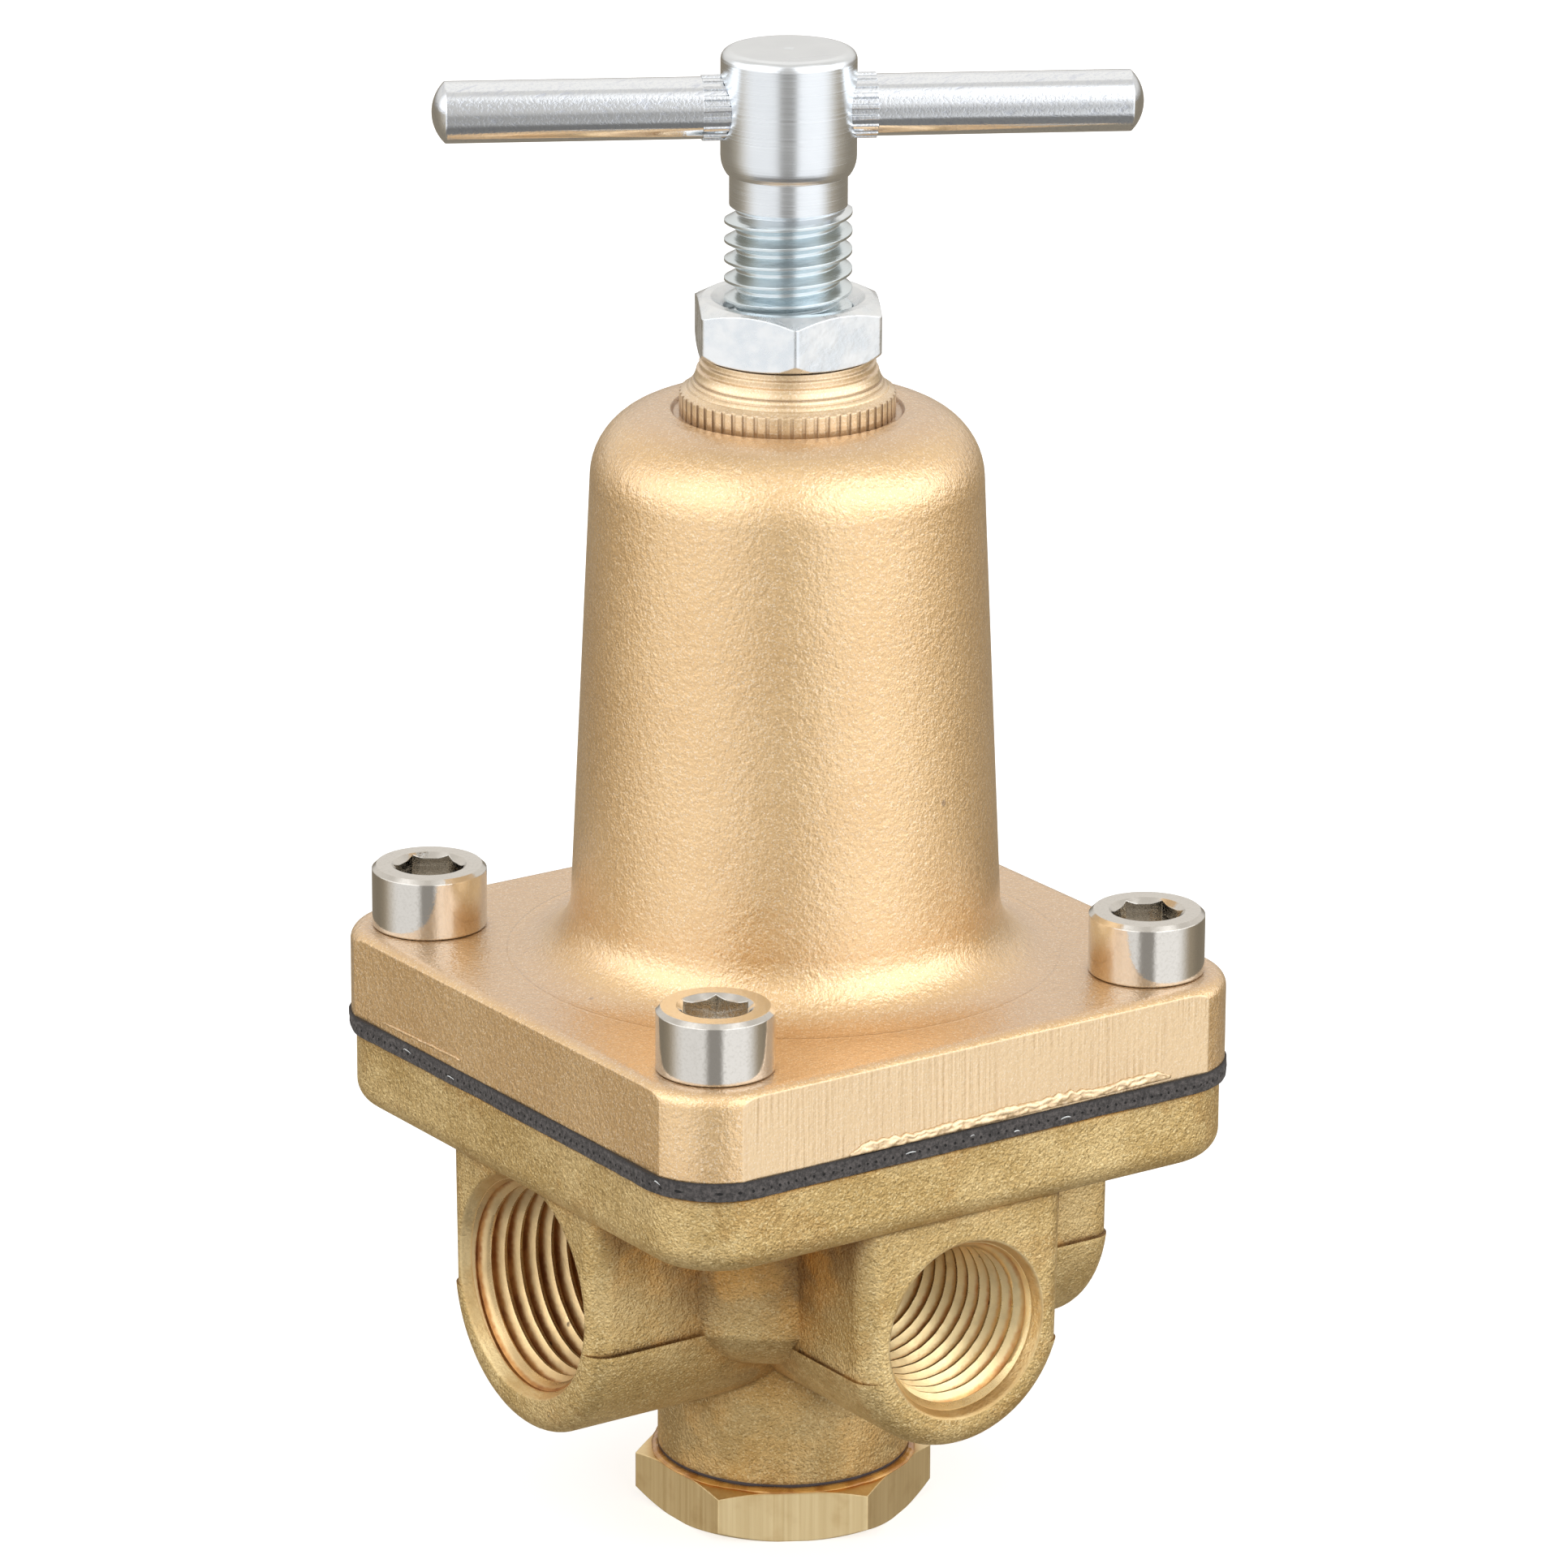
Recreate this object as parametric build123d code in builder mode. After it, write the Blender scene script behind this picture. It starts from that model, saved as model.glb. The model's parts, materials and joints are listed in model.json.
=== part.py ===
from build123d import *
from math import sqrt
import os

os.makedirs("parts", exist_ok=True)

# Air pressure regulator: forged brass body, cast spring bonnet, T-handle adjusting screw.
# Millimetres. Z is the spring axis, Z = 0 is the underside of the bottom plug.
# The main ports lie along X (inlet at -X, outlet at +X), the gauge ports along Y.

# Levels up the spring axis
PLUG_TOP = 4.2
BODY_BOTTOM = 4.7
PARTING_Z = 20.0
SEAT_WEB_BOTTOM = 19.4
SEAT_WEB_TOP = 22.8
FLANGE_BOTTOM = 31.15
BODY_TOP = 37.46
BONNET_BOTTOM = 38.87
BONNET_FLANGE_TOP = 45.8
BONNET_TOP = 89.2
NUT_BOTTOM = 93.5
NUT_TOP = 98.0
HUB_BOTTOM = 107.7
TOTAL_HEIGHT = 117.2

# Square flanges and the four cap screws
BODY_FLANGE = 51.8
BONNET_FLANGE = 52.2
DIAPHRAGM_SIZE = 53.0
FLANGE_CORNER_R = 6.0
SCREW_SPACING = 40.06
SCREW_R = 3.1
SCREW_HEAD_R = 4.5
SCREW_HEAD_TOP = 50.73
SCREW_SOCKET_AF = 4.85
SCREW_SOCKET_DEPTH = 2.6
SCREW_TIP_Z = 32.8
SCREW_TURNS = (12.0, -34.5, -4.5, -31.5)

# Ports: 3/8 inch pipe thread on X, 1/4 inch pipe thread on Y, bored to the thread's major size
MAIN_AXIS_Z = 22.7
MAIN_BORE_R = 8.4
MAIN_MOUTH_R = 8.95
MAIN_FACE = 24.6
MAIN_BORE_END = 11.8
GAUGE_AXIS_Z = 21.9
GAUGE_BORE_R = 6.75
GAUGE_MOUTH_R = 7.15
GAUGE_FACE = 24.7
GAUGE_BORE_END = 9.6
MOUTH_CHAMFER_DEPTH = 0.9

# Body casting
CORE_R = 18.0
CORE_BOTTOM = 15.8
STEM_R = 9.94
CHAMBER_R = 7.0
PLUG_THREAD_R = 8.0
PLUG_SHANK_TOP = 11.4
OUTLET_CHAMBER_R = 8.0
CORE_TOP = 34.3
DISH_R = 17.0
DISH_FLOOR = 33.4

# Bonnet casting
BELL_FOOT_R = 16.66
BELL_FOOT_Z = 50.1
BELL_SHOULDER_R = 15.1
BELL_SHOULDER_Z = 84.0
BELL_TOP_R = 10.0
BELL_FILLET_R = 21.4
SPRING_ROOM_FOOT_R = 14.0
SPRING_ROOM_HEAD_R = 13.2
SPRING_ROOM_TOP = 84.8

# Adjusting screw, M10 x 1.5
THREAD_PITCH = 1.5
THREAD_CREST_R = 4.87
THREAD_ROOT_R = 3.95
THREAD_BOTTOM = 86.8
THREAD_TOP = 104.7
SCREW_CORE_TOP = 105.2
NECK_R = 4.5
HUB_R = 5.17
BAR_Z = 112.75
BAR_R = 2.35
BAR_LENGTH = 53.9
BAR_DOME = 1.0
BAR_TURN = -29.0
BAR_KNURL_R = 2.5
BAR_KNURL_LENGTH = 13.2
THREADED_BORE_R = THREAD_CREST_R + 0.1

# Bushing and lock nut
BUSHING_SHANK_R = 6.2
BUSHING_RING_R = 8.27
BUSHING_SEAT_Z = 88.9
BUSHING_RING_TOP = 90.7
BUSHING_NECK_R = 6.75
NUT_AF = 13.7

# Diaphragm stack and springs
STUD_R = 3.0
PLATE_TOP = 41.0
BUTTON_BOTTOM = 81.6
BUTTON_TOP = 84.0
BUTTON_R = 12.3
RANGE_SPRING_R = 10.7
RANGE_WIRE_R = 1.5
VALVE_WIRE_R = 0.35
FIT = 0.05


def socket_locations():
    """The four cap screw axes, each turned to the angle its socket was left at."""
    half = SCREW_SPACING / 2
    corners = ((half, half), (-half, half), (-half, -half), (half, -half))
    return [Location((x, y, 0), (0, 0, turn)) for (x, y), turn in zip(corners, SCREW_TURNS)]


# Bottom plug: hexagon head, threaded shank, well for the valve spring and a guide for the valve
PLUG_AF = 20.3
PLUG_CORNER_R = PLUG_AF / sqrt(3)
PLUG_WELL_FLOOR = 8.8
PLUG_WELL_R = 5.2
GUIDE_R = 2.05
GUIDE_FLOOR = 2.8
ORING_GLAND_R = 3.2
ORING_GLAND_Z = 6.0
ORING_GLAND_HEIGHT = 1.2

with BuildPart() as bottom_plug:
    with BuildSketch():
        RegularPolygon(radius=PLUG_CORNER_R, side_count=6, rotation=30)
    extrude(amount=PLUG_TOP)
    with BuildSketch(Plane.XZ):
        with BuildLine():
            Polyline(
                (0, 0),
                (PLUG_CORNER_R - 1.5, 0),
                (PLUG_CORNER_R + 0.1, 0.85),
                (PLUG_CORNER_R + 0.1, PLUG_TOP - 0.6),
                (PLUG_CORNER_R - 1.6, PLUG_TOP),
                (0, PLUG_TOP),
                close=True,
            )
        make_face()
    revolve(axis=Axis.Z, mode=Mode.INTERSECT)
    with BuildSketch(Plane.XY.offset(PLUG_TOP)):
        Circle(PLUG_THREAD_R - FIT)
    extrude(amount=PLUG_SHANK_TOP - PLUG_TOP)
    chamfer(bottom_plug.edges().group_by(Axis.Z)[-1], 0.6)
    with BuildSketch(Plane.XY.offset(PLUG_WELL_FLOOR)):
        Circle(PLUG_WELL_R)
    extrude(amount=PLUG_SHANK_TOP - PLUG_WELL_FLOOR, mode=Mode.SUBTRACT)
    with BuildSketch(Plane.XY.offset(ORING_GLAND_Z)):
        Circle(ORING_GLAND_R)
    extrude(amount=ORING_GLAND_HEIGHT, mode=Mode.SUBTRACT)
    with BuildSketch(Plane.XY.offset(GUIDE_FLOOR)):
        Circle(GUIDE_R)
    extrude(amount=PLUG_SHANK_TOP - GUIDE_FLOOR, mode=Mode.SUBTRACT)
bottom_plug.part.label = "bottom_plug"
export_step(bottom_plug.part, "parts/bottom_plug.step")

# Flat seal between the plug head and the body
with BuildPart() as plug_gasket:
    with BuildSketch(Plane.XY.offset(PLUG_TOP)):
        Circle(STEM_R - 0.08)
        Circle(PLUG_THREAD_R + 0.1, mode=Mode.SUBTRACT)
    extrude(amount=BODY_BOTTOM - PLUG_TOP)
plug_gasket.part.label = "plug_gasket"
export_step(plug_gasket.part, "parts/plug_gasket.step")

# Port bosses: straight drafted sides above the parting line, a round belly below it
MAIN_BELLY_R = 10.7
MAIN_BELLY_Z = 21.6
MAIN_PARTING_HALF = 10.25
MAIN_TOP_HALF = 10.6
GAUGE_BELLY_R = 9.75
GAUGE_PARTING_Z = 19.1
GAUGE_PARTING_HALF = 9.15
GAUGE_TOP_HALF = 9.65
BOSS_EDGE_R = 1.8

with BuildPart() as main_boss_sides:
    with BuildSketch(Plane.YZ.offset(-MAIN_FACE)):
        with BuildLine():
            Polyline(
                (-MAIN_PARTING_HALF, PARTING_Z),
                (MAIN_PARTING_HALF, PARTING_Z),
                (MAIN_TOP_HALF, BODY_TOP - 1),
                (-MAIN_TOP_HALF, BODY_TOP - 1),
                close=True,
            )
        make_face()
    extrude(amount=2 * MAIN_FACE)
    side_faces = main_boss_sides.faces().filter_by(Axis.X)
    upright = [e for f in side_faces for e in f.edges() if abs(e.tangent_at(0.5).Z) > 0.9]
    fillet(upright, BOSS_EDGE_R)

with BuildPart() as main_boss_belly:
    with BuildSketch(Plane.YZ.offset(-MAIN_FACE)):
        with Locations((0, MAIN_BELLY_Z)):
            Circle(MAIN_BELLY_R)
    extrude(amount=2 * MAIN_FACE)
    fillet(main_boss_belly.faces().filter_by(Axis.X).edges(), BOSS_EDGE_R)
    split(bisect_by=Plane.XY.offset(PARTING_Z), keep=Keep.BOTTOM)

with BuildPart() as gauge_boss_sides:
    with BuildSketch(Plane.XZ.offset(-GAUGE_FACE)):
        with BuildLine():
            Polyline(
                (-GAUGE_PARTING_HALF, GAUGE_PARTING_Z),
                (GAUGE_PARTING_HALF, GAUGE_PARTING_Z),
                (GAUGE_TOP_HALF, BODY_TOP - 1),
                (-GAUGE_TOP_HALF, BODY_TOP - 1),
                close=True,
            )
        make_face()
    extrude(amount=2 * GAUGE_FACE)
    side_faces = gauge_boss_sides.faces().filter_by(Axis.Y)
    upright = [e for f in side_faces for e in f.edges() if abs(e.tangent_at(0.5).Z) > 0.9]
    fillet(upright, BOSS_EDGE_R)

with BuildPart() as gauge_boss_belly:
    with BuildSketch(Plane.XZ.offset(-GAUGE_FACE)):
        with Locations((0, GAUGE_AXIS_Z)):
            Circle(GAUGE_BELLY_R)
    extrude(amount=2 * GAUGE_FACE)
    fillet(gauge_boss_belly.faces().filter_by(Axis.Y).edges(), BOSS_EDGE_R)
    split(bisect_by=Plane.XY.offset(GAUGE_PARTING_Z), keep=Keep.BOTTOM)

# Body: flange, core, round stem for the plug and four port bosses, with the air passages cut in
INLET_PASSAGE_Z = 16.8
INLET_PASSAGE_R = 2.4
OUTLET_PASSAGE_Z = 27.8
OUTLET_PASSAGE_R = 2.8
GAUGE_PASSAGE_Z = 26.2
GAUGE_PASSAGE_R = 1.8
SEAT_BORE_R = 5.0
SEAT_GROOVE_R = 6.5
SEAT_GROOVE_FLOOR = 21.6

with BuildPart() as body:
    with BuildSketch(Plane.XY.offset(FLANGE_BOTTOM)):
        RectangleRounded(BODY_FLANGE, BODY_FLANGE, FLANGE_CORNER_R)
    extrude(amount=BODY_TOP - FLANGE_BOTTOM)
    fillet(body.edges().group_by(Axis.Z)[0], 2.0)
    fillet(body.edges().group_by(Axis.Z)[-1], 0.3)
    with BuildSketch(Plane.XZ):
        with BuildLine():
            Polyline(
                (STEM_R, CORE_BOTTOM),
                (0, CORE_BOTTOM),
                (0, CORE_TOP),
                (CORE_R, CORE_TOP),
                (CORE_R, PARTING_Z),
            )
            RadiusArc((CORE_R, PARTING_Z), (STEM_R, CORE_BOTTOM), 8.5)
        make_face()
    revolve(axis=Axis.Z)
    with BuildSketch(Plane.XY.offset(BODY_BOTTOM)):
        Circle(STEM_R)
    extrude(amount=SEAT_WEB_TOP - BODY_BOTTOM)
    add(main_boss_sides.part)
    add(main_boss_belly.part)
    add(gauge_boss_sides.part)
    add(gauge_boss_belly.part)
    # Diaphragm dish, outlet chamber, seat bore with its O-ring groove, inlet chamber, plug thread
    for low, high, radius in (
        (DISH_FLOOR, BODY_TOP, DISH_R),
        (SEAT_WEB_TOP, DISH_FLOOR, OUTLET_CHAMBER_R),
        (SEAT_GROOVE_FLOOR, SEAT_WEB_TOP, SEAT_GROOVE_R),
        (SEAT_WEB_BOTTOM, SEAT_GROOVE_FLOOR, SEAT_BORE_R + FIT),
        (PLUG_SHANK_TOP, SEAT_WEB_BOTTOM, CHAMBER_R),
        (BODY_BOTTOM, PLUG_SHANK_TOP + 0.6, PLUG_THREAD_R),
    ):
        with BuildSketch(Plane.XY.offset(low)):
            Circle(radius)
        extrude(amount=high - low, mode=Mode.SUBTRACT)
    # Threaded ports, chamfered at the mouth
    for turn, face, end, axis_z, bore_r, mouth_r in (
        (0, MAIN_FACE, MAIN_BORE_END, MAIN_AXIS_Z, MAIN_BORE_R, MAIN_MOUTH_R),
        (180, MAIN_FACE, MAIN_BORE_END, MAIN_AXIS_Z, MAIN_BORE_R, MAIN_MOUTH_R),
        (90, GAUGE_FACE, GAUGE_BORE_END, GAUGE_AXIS_Z, GAUGE_BORE_R, GAUGE_MOUTH_R),
        (270, GAUGE_FACE, GAUGE_BORE_END, GAUGE_AXIS_Z, GAUGE_BORE_R, GAUGE_MOUTH_R),
    ):
        outward = Plane.XY.rotated((0, 0, turn)).x_dir
        with BuildSketch(Plane((0, 0, axis_z), x_dir=outward, z_dir=outward.cross(Vector(0, 0, 1)))):
            with BuildLine():
                Polyline(
                    (end, 0),
                    (face + 1, 0),
                    (face + 1, mouth_r),
                    (face, mouth_r),
                    (face - MOUTH_CHAMFER_DEPTH, bore_r),
                    (end, bore_r),
                    close=True,
                )
            make_face()
        revolve(axis=Axis((0, 0, axis_z), outward), mode=Mode.SUBTRACT)
    # Drilled passages from the ports to the chambers
    for turn, start, end, z, radius in (
        (180, CHAMBER_R - 1, MAIN_BORE_END + 1, INLET_PASSAGE_Z, INLET_PASSAGE_R),
        (0, OUTLET_CHAMBER_R - 1, MAIN_BORE_END + 1, OUTLET_PASSAGE_Z, OUTLET_PASSAGE_R),
        (90, OUTLET_CHAMBER_R - 1, GAUGE_BORE_END + 1, GAUGE_PASSAGE_Z, GAUGE_PASSAGE_R),
        (270, OUTLET_CHAMBER_R - 1, GAUGE_BORE_END + 1, GAUGE_PASSAGE_Z, GAUGE_PASSAGE_R),
    ):
        outward = Plane.XY.rotated((0, 0, turn)).x_dir
        with BuildSketch(Plane(outward * start + Vector(0, 0, z), z_dir=outward)):
            Circle(radius)
        extrude(amount=end - start, mode=Mode.SUBTRACT)
    with Locations((0, 0, BODY_TOP)):
        with GridLocations(SCREW_SPACING, SCREW_SPACING, 2, 2):
            Hole(SCREW_R + FIT, depth=BODY_TOP - FLANGE_BOTTOM + 1)
body.part.label = "body"
export_step(body.part, "parts/body.step")

# Valve seat insert with its O-ring
SEAT_ORIFICE_R = 2.6
SEAT_LIP_R = 3.3
SEAT_LIP_Z = 18.7
SEAT_HEAD_TOP = 25.0

with BuildPart() as valve_seat:
    with BuildSketch(Plane.XZ):
        with BuildLine():
            Polyline(
                (SEAT_ORIFICE_R, SEAT_LIP_Z),
                (SEAT_LIP_R, SEAT_LIP_Z),
                (SEAT_LIP_R + 0.5, SEAT_WEB_BOTTOM + 0.3),
                (SEAT_BORE_R, SEAT_WEB_BOTTOM + 0.3),
                (SEAT_BORE_R, SEAT_WEB_TOP),
                (SEAT_GROOVE_R + 0.6, SEAT_WEB_TOP),
                (SEAT_GROOVE_R + 0.6, SEAT_HEAD_TOP - 0.4),
                (SEAT_GROOVE_R + 0.2, SEAT_HEAD_TOP),
                (SEAT_ORIFICE_R + 0.5, SEAT_HEAD_TOP),
                (SEAT_ORIFICE_R, SEAT_HEAD_TOP - 0.5),
                close=True,
            )
        make_face()
    revolve(axis=Axis.Z)
    with BuildSketch(Plane.XY.offset(SEAT_HEAD_TOP)):
        Rectangle(2 * SEAT_GROOVE_R + 4, 1.4)
    extrude(amount=-0.9, mode=Mode.SUBTRACT)
valve_seat.part.label = "valve_seat"
export_step(valve_seat.part, "parts/valve_seat.step")

with BuildPart() as seat_o_ring:
    with BuildSketch(Plane.XZ):
        with Locations(((SEAT_BORE_R + SEAT_GROOVE_R) / 2 + 0.02, (SEAT_GROOVE_FLOOR + SEAT_WEB_TOP) / 2)):
            Circle(0.58)
    revolve(axis=Axis.Z)
seat_o_ring.part.label = "seat_o_ring"
export_step(seat_o_ring.part, "parts/seat_o_ring.step")

# Valve: poppet guided in the plug, rubber disc, push pin up to the diaphragm, spring and O-ring
POPPET_HEAD_R = 4.7
POPPET_HEAD_Z = 14.0
DISC_BOTTOM = 17.2
DISC_TOP = SEAT_LIP_Z - 0.02
POPPET_TAIL_R = GUIDE_R - FIT
POPPET_TAIL_Z = 4.4
PIN_R = 1.2
PIN_TOP = 34.4
PIN_DEPTH = 3.0

with BuildPart() as valve_poppet:
    with BuildSketch(Plane.XZ):
        with BuildLine():
            Polyline(
                (0, POPPET_TAIL_Z),
                (POPPET_TAIL_R - 0.3, POPPET_TAIL_Z),
                (POPPET_TAIL_R, POPPET_TAIL_Z + 0.3),
                (POPPET_TAIL_R, POPPET_HEAD_Z),
                (POPPET_HEAD_R, POPPET_HEAD_Z),
                (POPPET_HEAD_R, DISC_BOTTOM + 1.0),
                (POPPET_HEAD_R - 0.35, DISC_BOTTOM + 1.0),
                (POPPET_HEAD_R - 0.35, DISC_BOTTOM),
                (0, DISC_BOTTOM),
                close=True,
            )
        make_face()
    revolve(axis=Axis.Z)
    with BuildSketch(Plane.XY.offset(DISC_BOTTOM)):
        Circle(PIN_R)
    extrude(amount=-PIN_DEPTH, mode=Mode.SUBTRACT)
valve_poppet.part.label = "valve_poppet"
export_step(valve_poppet.part, "parts/valve_poppet.step")

with BuildPart() as valve_disc:
    with BuildSketch(Plane.XY.offset(DISC_BOTTOM)):
        Circle(POPPET_HEAD_R - 0.35)
        Circle(PIN_R, mode=Mode.SUBTRACT)
    extrude(amount=DISC_TOP - DISC_BOTTOM)
valve_disc.part.label = "valve_disc"
export_step(valve_disc.part, "parts/valve_disc.step")

with BuildPart() as valve_pin:
    with BuildSketch(Plane.XY.offset(DISC_BOTTOM - PIN_DEPTH)):
        Circle(PIN_R)
    extrude(amount=PIN_TOP - DISC_BOTTOM + PIN_DEPTH)
    fillet(valve_pin.edges().group_by(Axis.Z)[-1], 0.8)
valve_pin.part.label = "valve_pin"
export_step(valve_pin.part, "parts/valve_pin.step")

with BuildPart() as poppet_o_ring:
    with BuildSketch(Plane.XZ):
        with Locations(((GUIDE_R + ORING_GLAND_R) / 2, ORING_GLAND_Z + ORING_GLAND_HEIGHT / 2)):
            Circle(0.56)
    revolve(axis=Axis.Z)
poppet_o_ring.part.label = "poppet_o_ring"
export_step(poppet_o_ring.part, "parts/poppet_o_ring.step")

VALVE_SPRING_R = 3.6
VALVE_SPRING_PITCH = 1.45
VALVE_SPRING_BOTTOM = PLUG_WELL_FLOOR + VALVE_WIRE_R
VALVE_SPRING_TOP = POPPET_HEAD_Z - VALVE_WIRE_R

with BuildPart() as valve_spring:
    with BuildLine() as valve_coil:
        Helix(
            VALVE_SPRING_PITCH,
            VALVE_SPRING_TOP - VALVE_SPRING_BOTTOM,
            VALVE_SPRING_R,
            center=(0, 0, VALVE_SPRING_BOTTOM),
        )
    with BuildSketch(Plane(valve_coil.line @ 0, z_dir=valve_coil.line % 0)):
        Circle(VALVE_WIRE_R)
    sweep(path=valve_coil.line, is_frenet=True)
valve_spring.part.label = "valve_spring"
export_step(valve_spring.part, "parts/valve_spring.step")

# Diaphragm: fabric-reinforced sheet clamped between the flanges and trimmed a little proud
with BuildPart() as diaphragm:
    with BuildSketch(Plane.XY.offset(BODY_TOP)):
        RectangleRounded(DIAPHRAGM_SIZE, DIAPHRAGM_SIZE, FLANGE_CORNER_R + 0.4)
        with GridLocations(SCREW_SPACING, SCREW_SPACING, 2, 2):
            Circle(SCREW_R + 0.2, mode=Mode.SUBTRACT)
        Circle(STUD_R + FIT, mode=Mode.SUBTRACT)
    extrude(amount=BONNET_BOTTOM - BODY_TOP)
diaphragm.part.label = "diaphragm"
export_step(diaphragm.part, "parts/diaphragm.step")

# Diaphragm stack: lower plate, spring cup, hollow relief stud and its nut
CUP_R = 13.4
LOWER_PLATE_R = 12.0
STUD_HEAD_R = 4.6
STUD_HEAD_TOP = 35.8
STUD_TOP = 45.4
BLEED_R = 0.7
STACK_NUT_HEIGHT = 3.0

with BuildPart() as lower_plate:
    with BuildSketch(Plane.XY.offset(STUD_HEAD_TOP)):
        Circle(LOWER_PLATE_R)
        Circle(STUD_R + FIT, mode=Mode.SUBTRACT)
    extrude(amount=BODY_TOP - STUD_HEAD_TOP)
    fillet(lower_plate.edges().filter_by(GeomType.CIRCLE).sort_by(SortBy.RADIUS)[-2:], 0.5)
lower_plate.part.label = "lower_plate"
export_step(lower_plate.part, "parts/lower_plate.step")

with BuildPart() as spring_cup:
    with BuildSketch(Plane.XZ):
        with BuildLine():
            Polyline(
                (STUD_R + FIT, BONNET_BOTTOM),
                (CUP_R - 0.8, BONNET_BOTTOM),
                (CUP_R, BONNET_BOTTOM + 0.8),
                (CUP_R, PLATE_TOP + 2.0),
                (CUP_R - 0.9, PLATE_TOP + 2.0),
                (CUP_R - 0.9, PLATE_TOP),
                (STUD_R + FIT, PLATE_TOP),
                close=True,
            )
        make_face()
    revolve(axis=Axis.Z)
spring_cup.part.label = "spring_cup"
export_step(spring_cup.part, "parts/spring_cup.step")

with BuildPart() as relief_stud:
    with BuildSketch(Plane.XY.offset(PIN_TOP)):
        Circle(STUD_HEAD_R)
    extrude(amount=STUD_HEAD_TOP - PIN_TOP)
    with BuildSketch(Plane.XY.offset(STUD_HEAD_TOP)):
        Circle(STUD_R)
    extrude(amount=STUD_TOP - STUD_HEAD_TOP)
    chamfer(relief_stud.edges().group_by(Axis.Z)[-1], 0.5)
    Hole(BLEED_R)
relief_stud.part.label = "relief_stud"
export_step(relief_stud.part, "parts/relief_stud.step")

with BuildPart() as diaphragm_nut:
    with BuildSketch(Plane.XY.offset(PLATE_TOP)):
        RegularPolygon(radius=5.0, side_count=6, major_radius=False)
        Circle(STUD_R + FIT, mode=Mode.SUBTRACT)
    extrude(amount=STACK_NUT_HEIGHT)
    with BuildSketch(Plane.XZ):
        with BuildLine():
            Polyline(
                (0, PLATE_TOP),
                (5.9, PLATE_TOP),
                (5.9, PLATE_TOP + STACK_NUT_HEIGHT - 0.5),
                (5.0, PLATE_TOP + STACK_NUT_HEIGHT),
                (0, PLATE_TOP + STACK_NUT_HEIGHT),
                close=True,
            )
        make_face()
    revolve(axis=Axis.Z, mode=Mode.INTERSECT)
diaphragm_nut.part.label = "diaphragm_nut"
export_step(diaphragm_nut.part, "parts/diaphragm_nut.step")

# Range spring between the cup and the spring button
RANGE_SPRING_BOTTOM = PLATE_TOP + RANGE_WIRE_R
RANGE_SPRING_TOP = BUTTON_BOTTOM - RANGE_WIRE_R
RANGE_COILS = 7

with BuildPart() as range_spring:
    with BuildLine() as range_coil:
        Helix(
            (RANGE_SPRING_TOP - RANGE_SPRING_BOTTOM) / RANGE_COILS,
            RANGE_SPRING_TOP - RANGE_SPRING_BOTTOM,
            RANGE_SPRING_R,
            center=(0, 0, RANGE_SPRING_BOTTOM),
        )
    with BuildSketch(Plane(range_coil.line @ 0, z_dir=range_coil.line % 0)):
        Circle(RANGE_WIRE_R)
    sweep(path=range_coil.line, is_frenet=True)
    split(bisect_by=Plane.XY.offset(PLATE_TOP + 0.2), keep=Keep.TOP)
    split(bisect_by=Plane.XY.offset(BUTTON_BOTTOM - 0.2), keep=Keep.BOTTOM)
range_spring.part.label = "range_spring"
export_step(range_spring.part, "parts/range_spring.step")

with BuildPart() as spring_button:
    with BuildSketch(Plane.XZ):
        with BuildLine():
            Polyline(
                (0, BUTTON_BOTTOM - 2.2),
                (8.0, BUTTON_BOTTOM - 2.2),
                (8.7, BUTTON_BOTTOM - 1.5),
                (8.7, BUTTON_BOTTOM),
                (BUTTON_R, BUTTON_BOTTOM),
                (BUTTON_R, BUTTON_TOP - 0.6),
                (BUTTON_R - 0.6, BUTTON_TOP),
                (4.2, BUTTON_TOP),
                (3.0, BUTTON_TOP - 1.2),
                (0, BUTTON_TOP - 1.2),
                close=True,
            )
        make_face()
    revolve(axis=Axis.Z)
spring_button.part.label = "spring_button"
export_step(spring_button.part, "parts/spring_button.step")

# Bonnet: square flange with ground side faces, and a tapered bell bored for the range spring
GROUND_OFF = 0.25
BONNET_CORNER_R = FLANGE_CORNER_R + 0.6
VENT_R = 1.25
VENT_Z = 53.8

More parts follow.
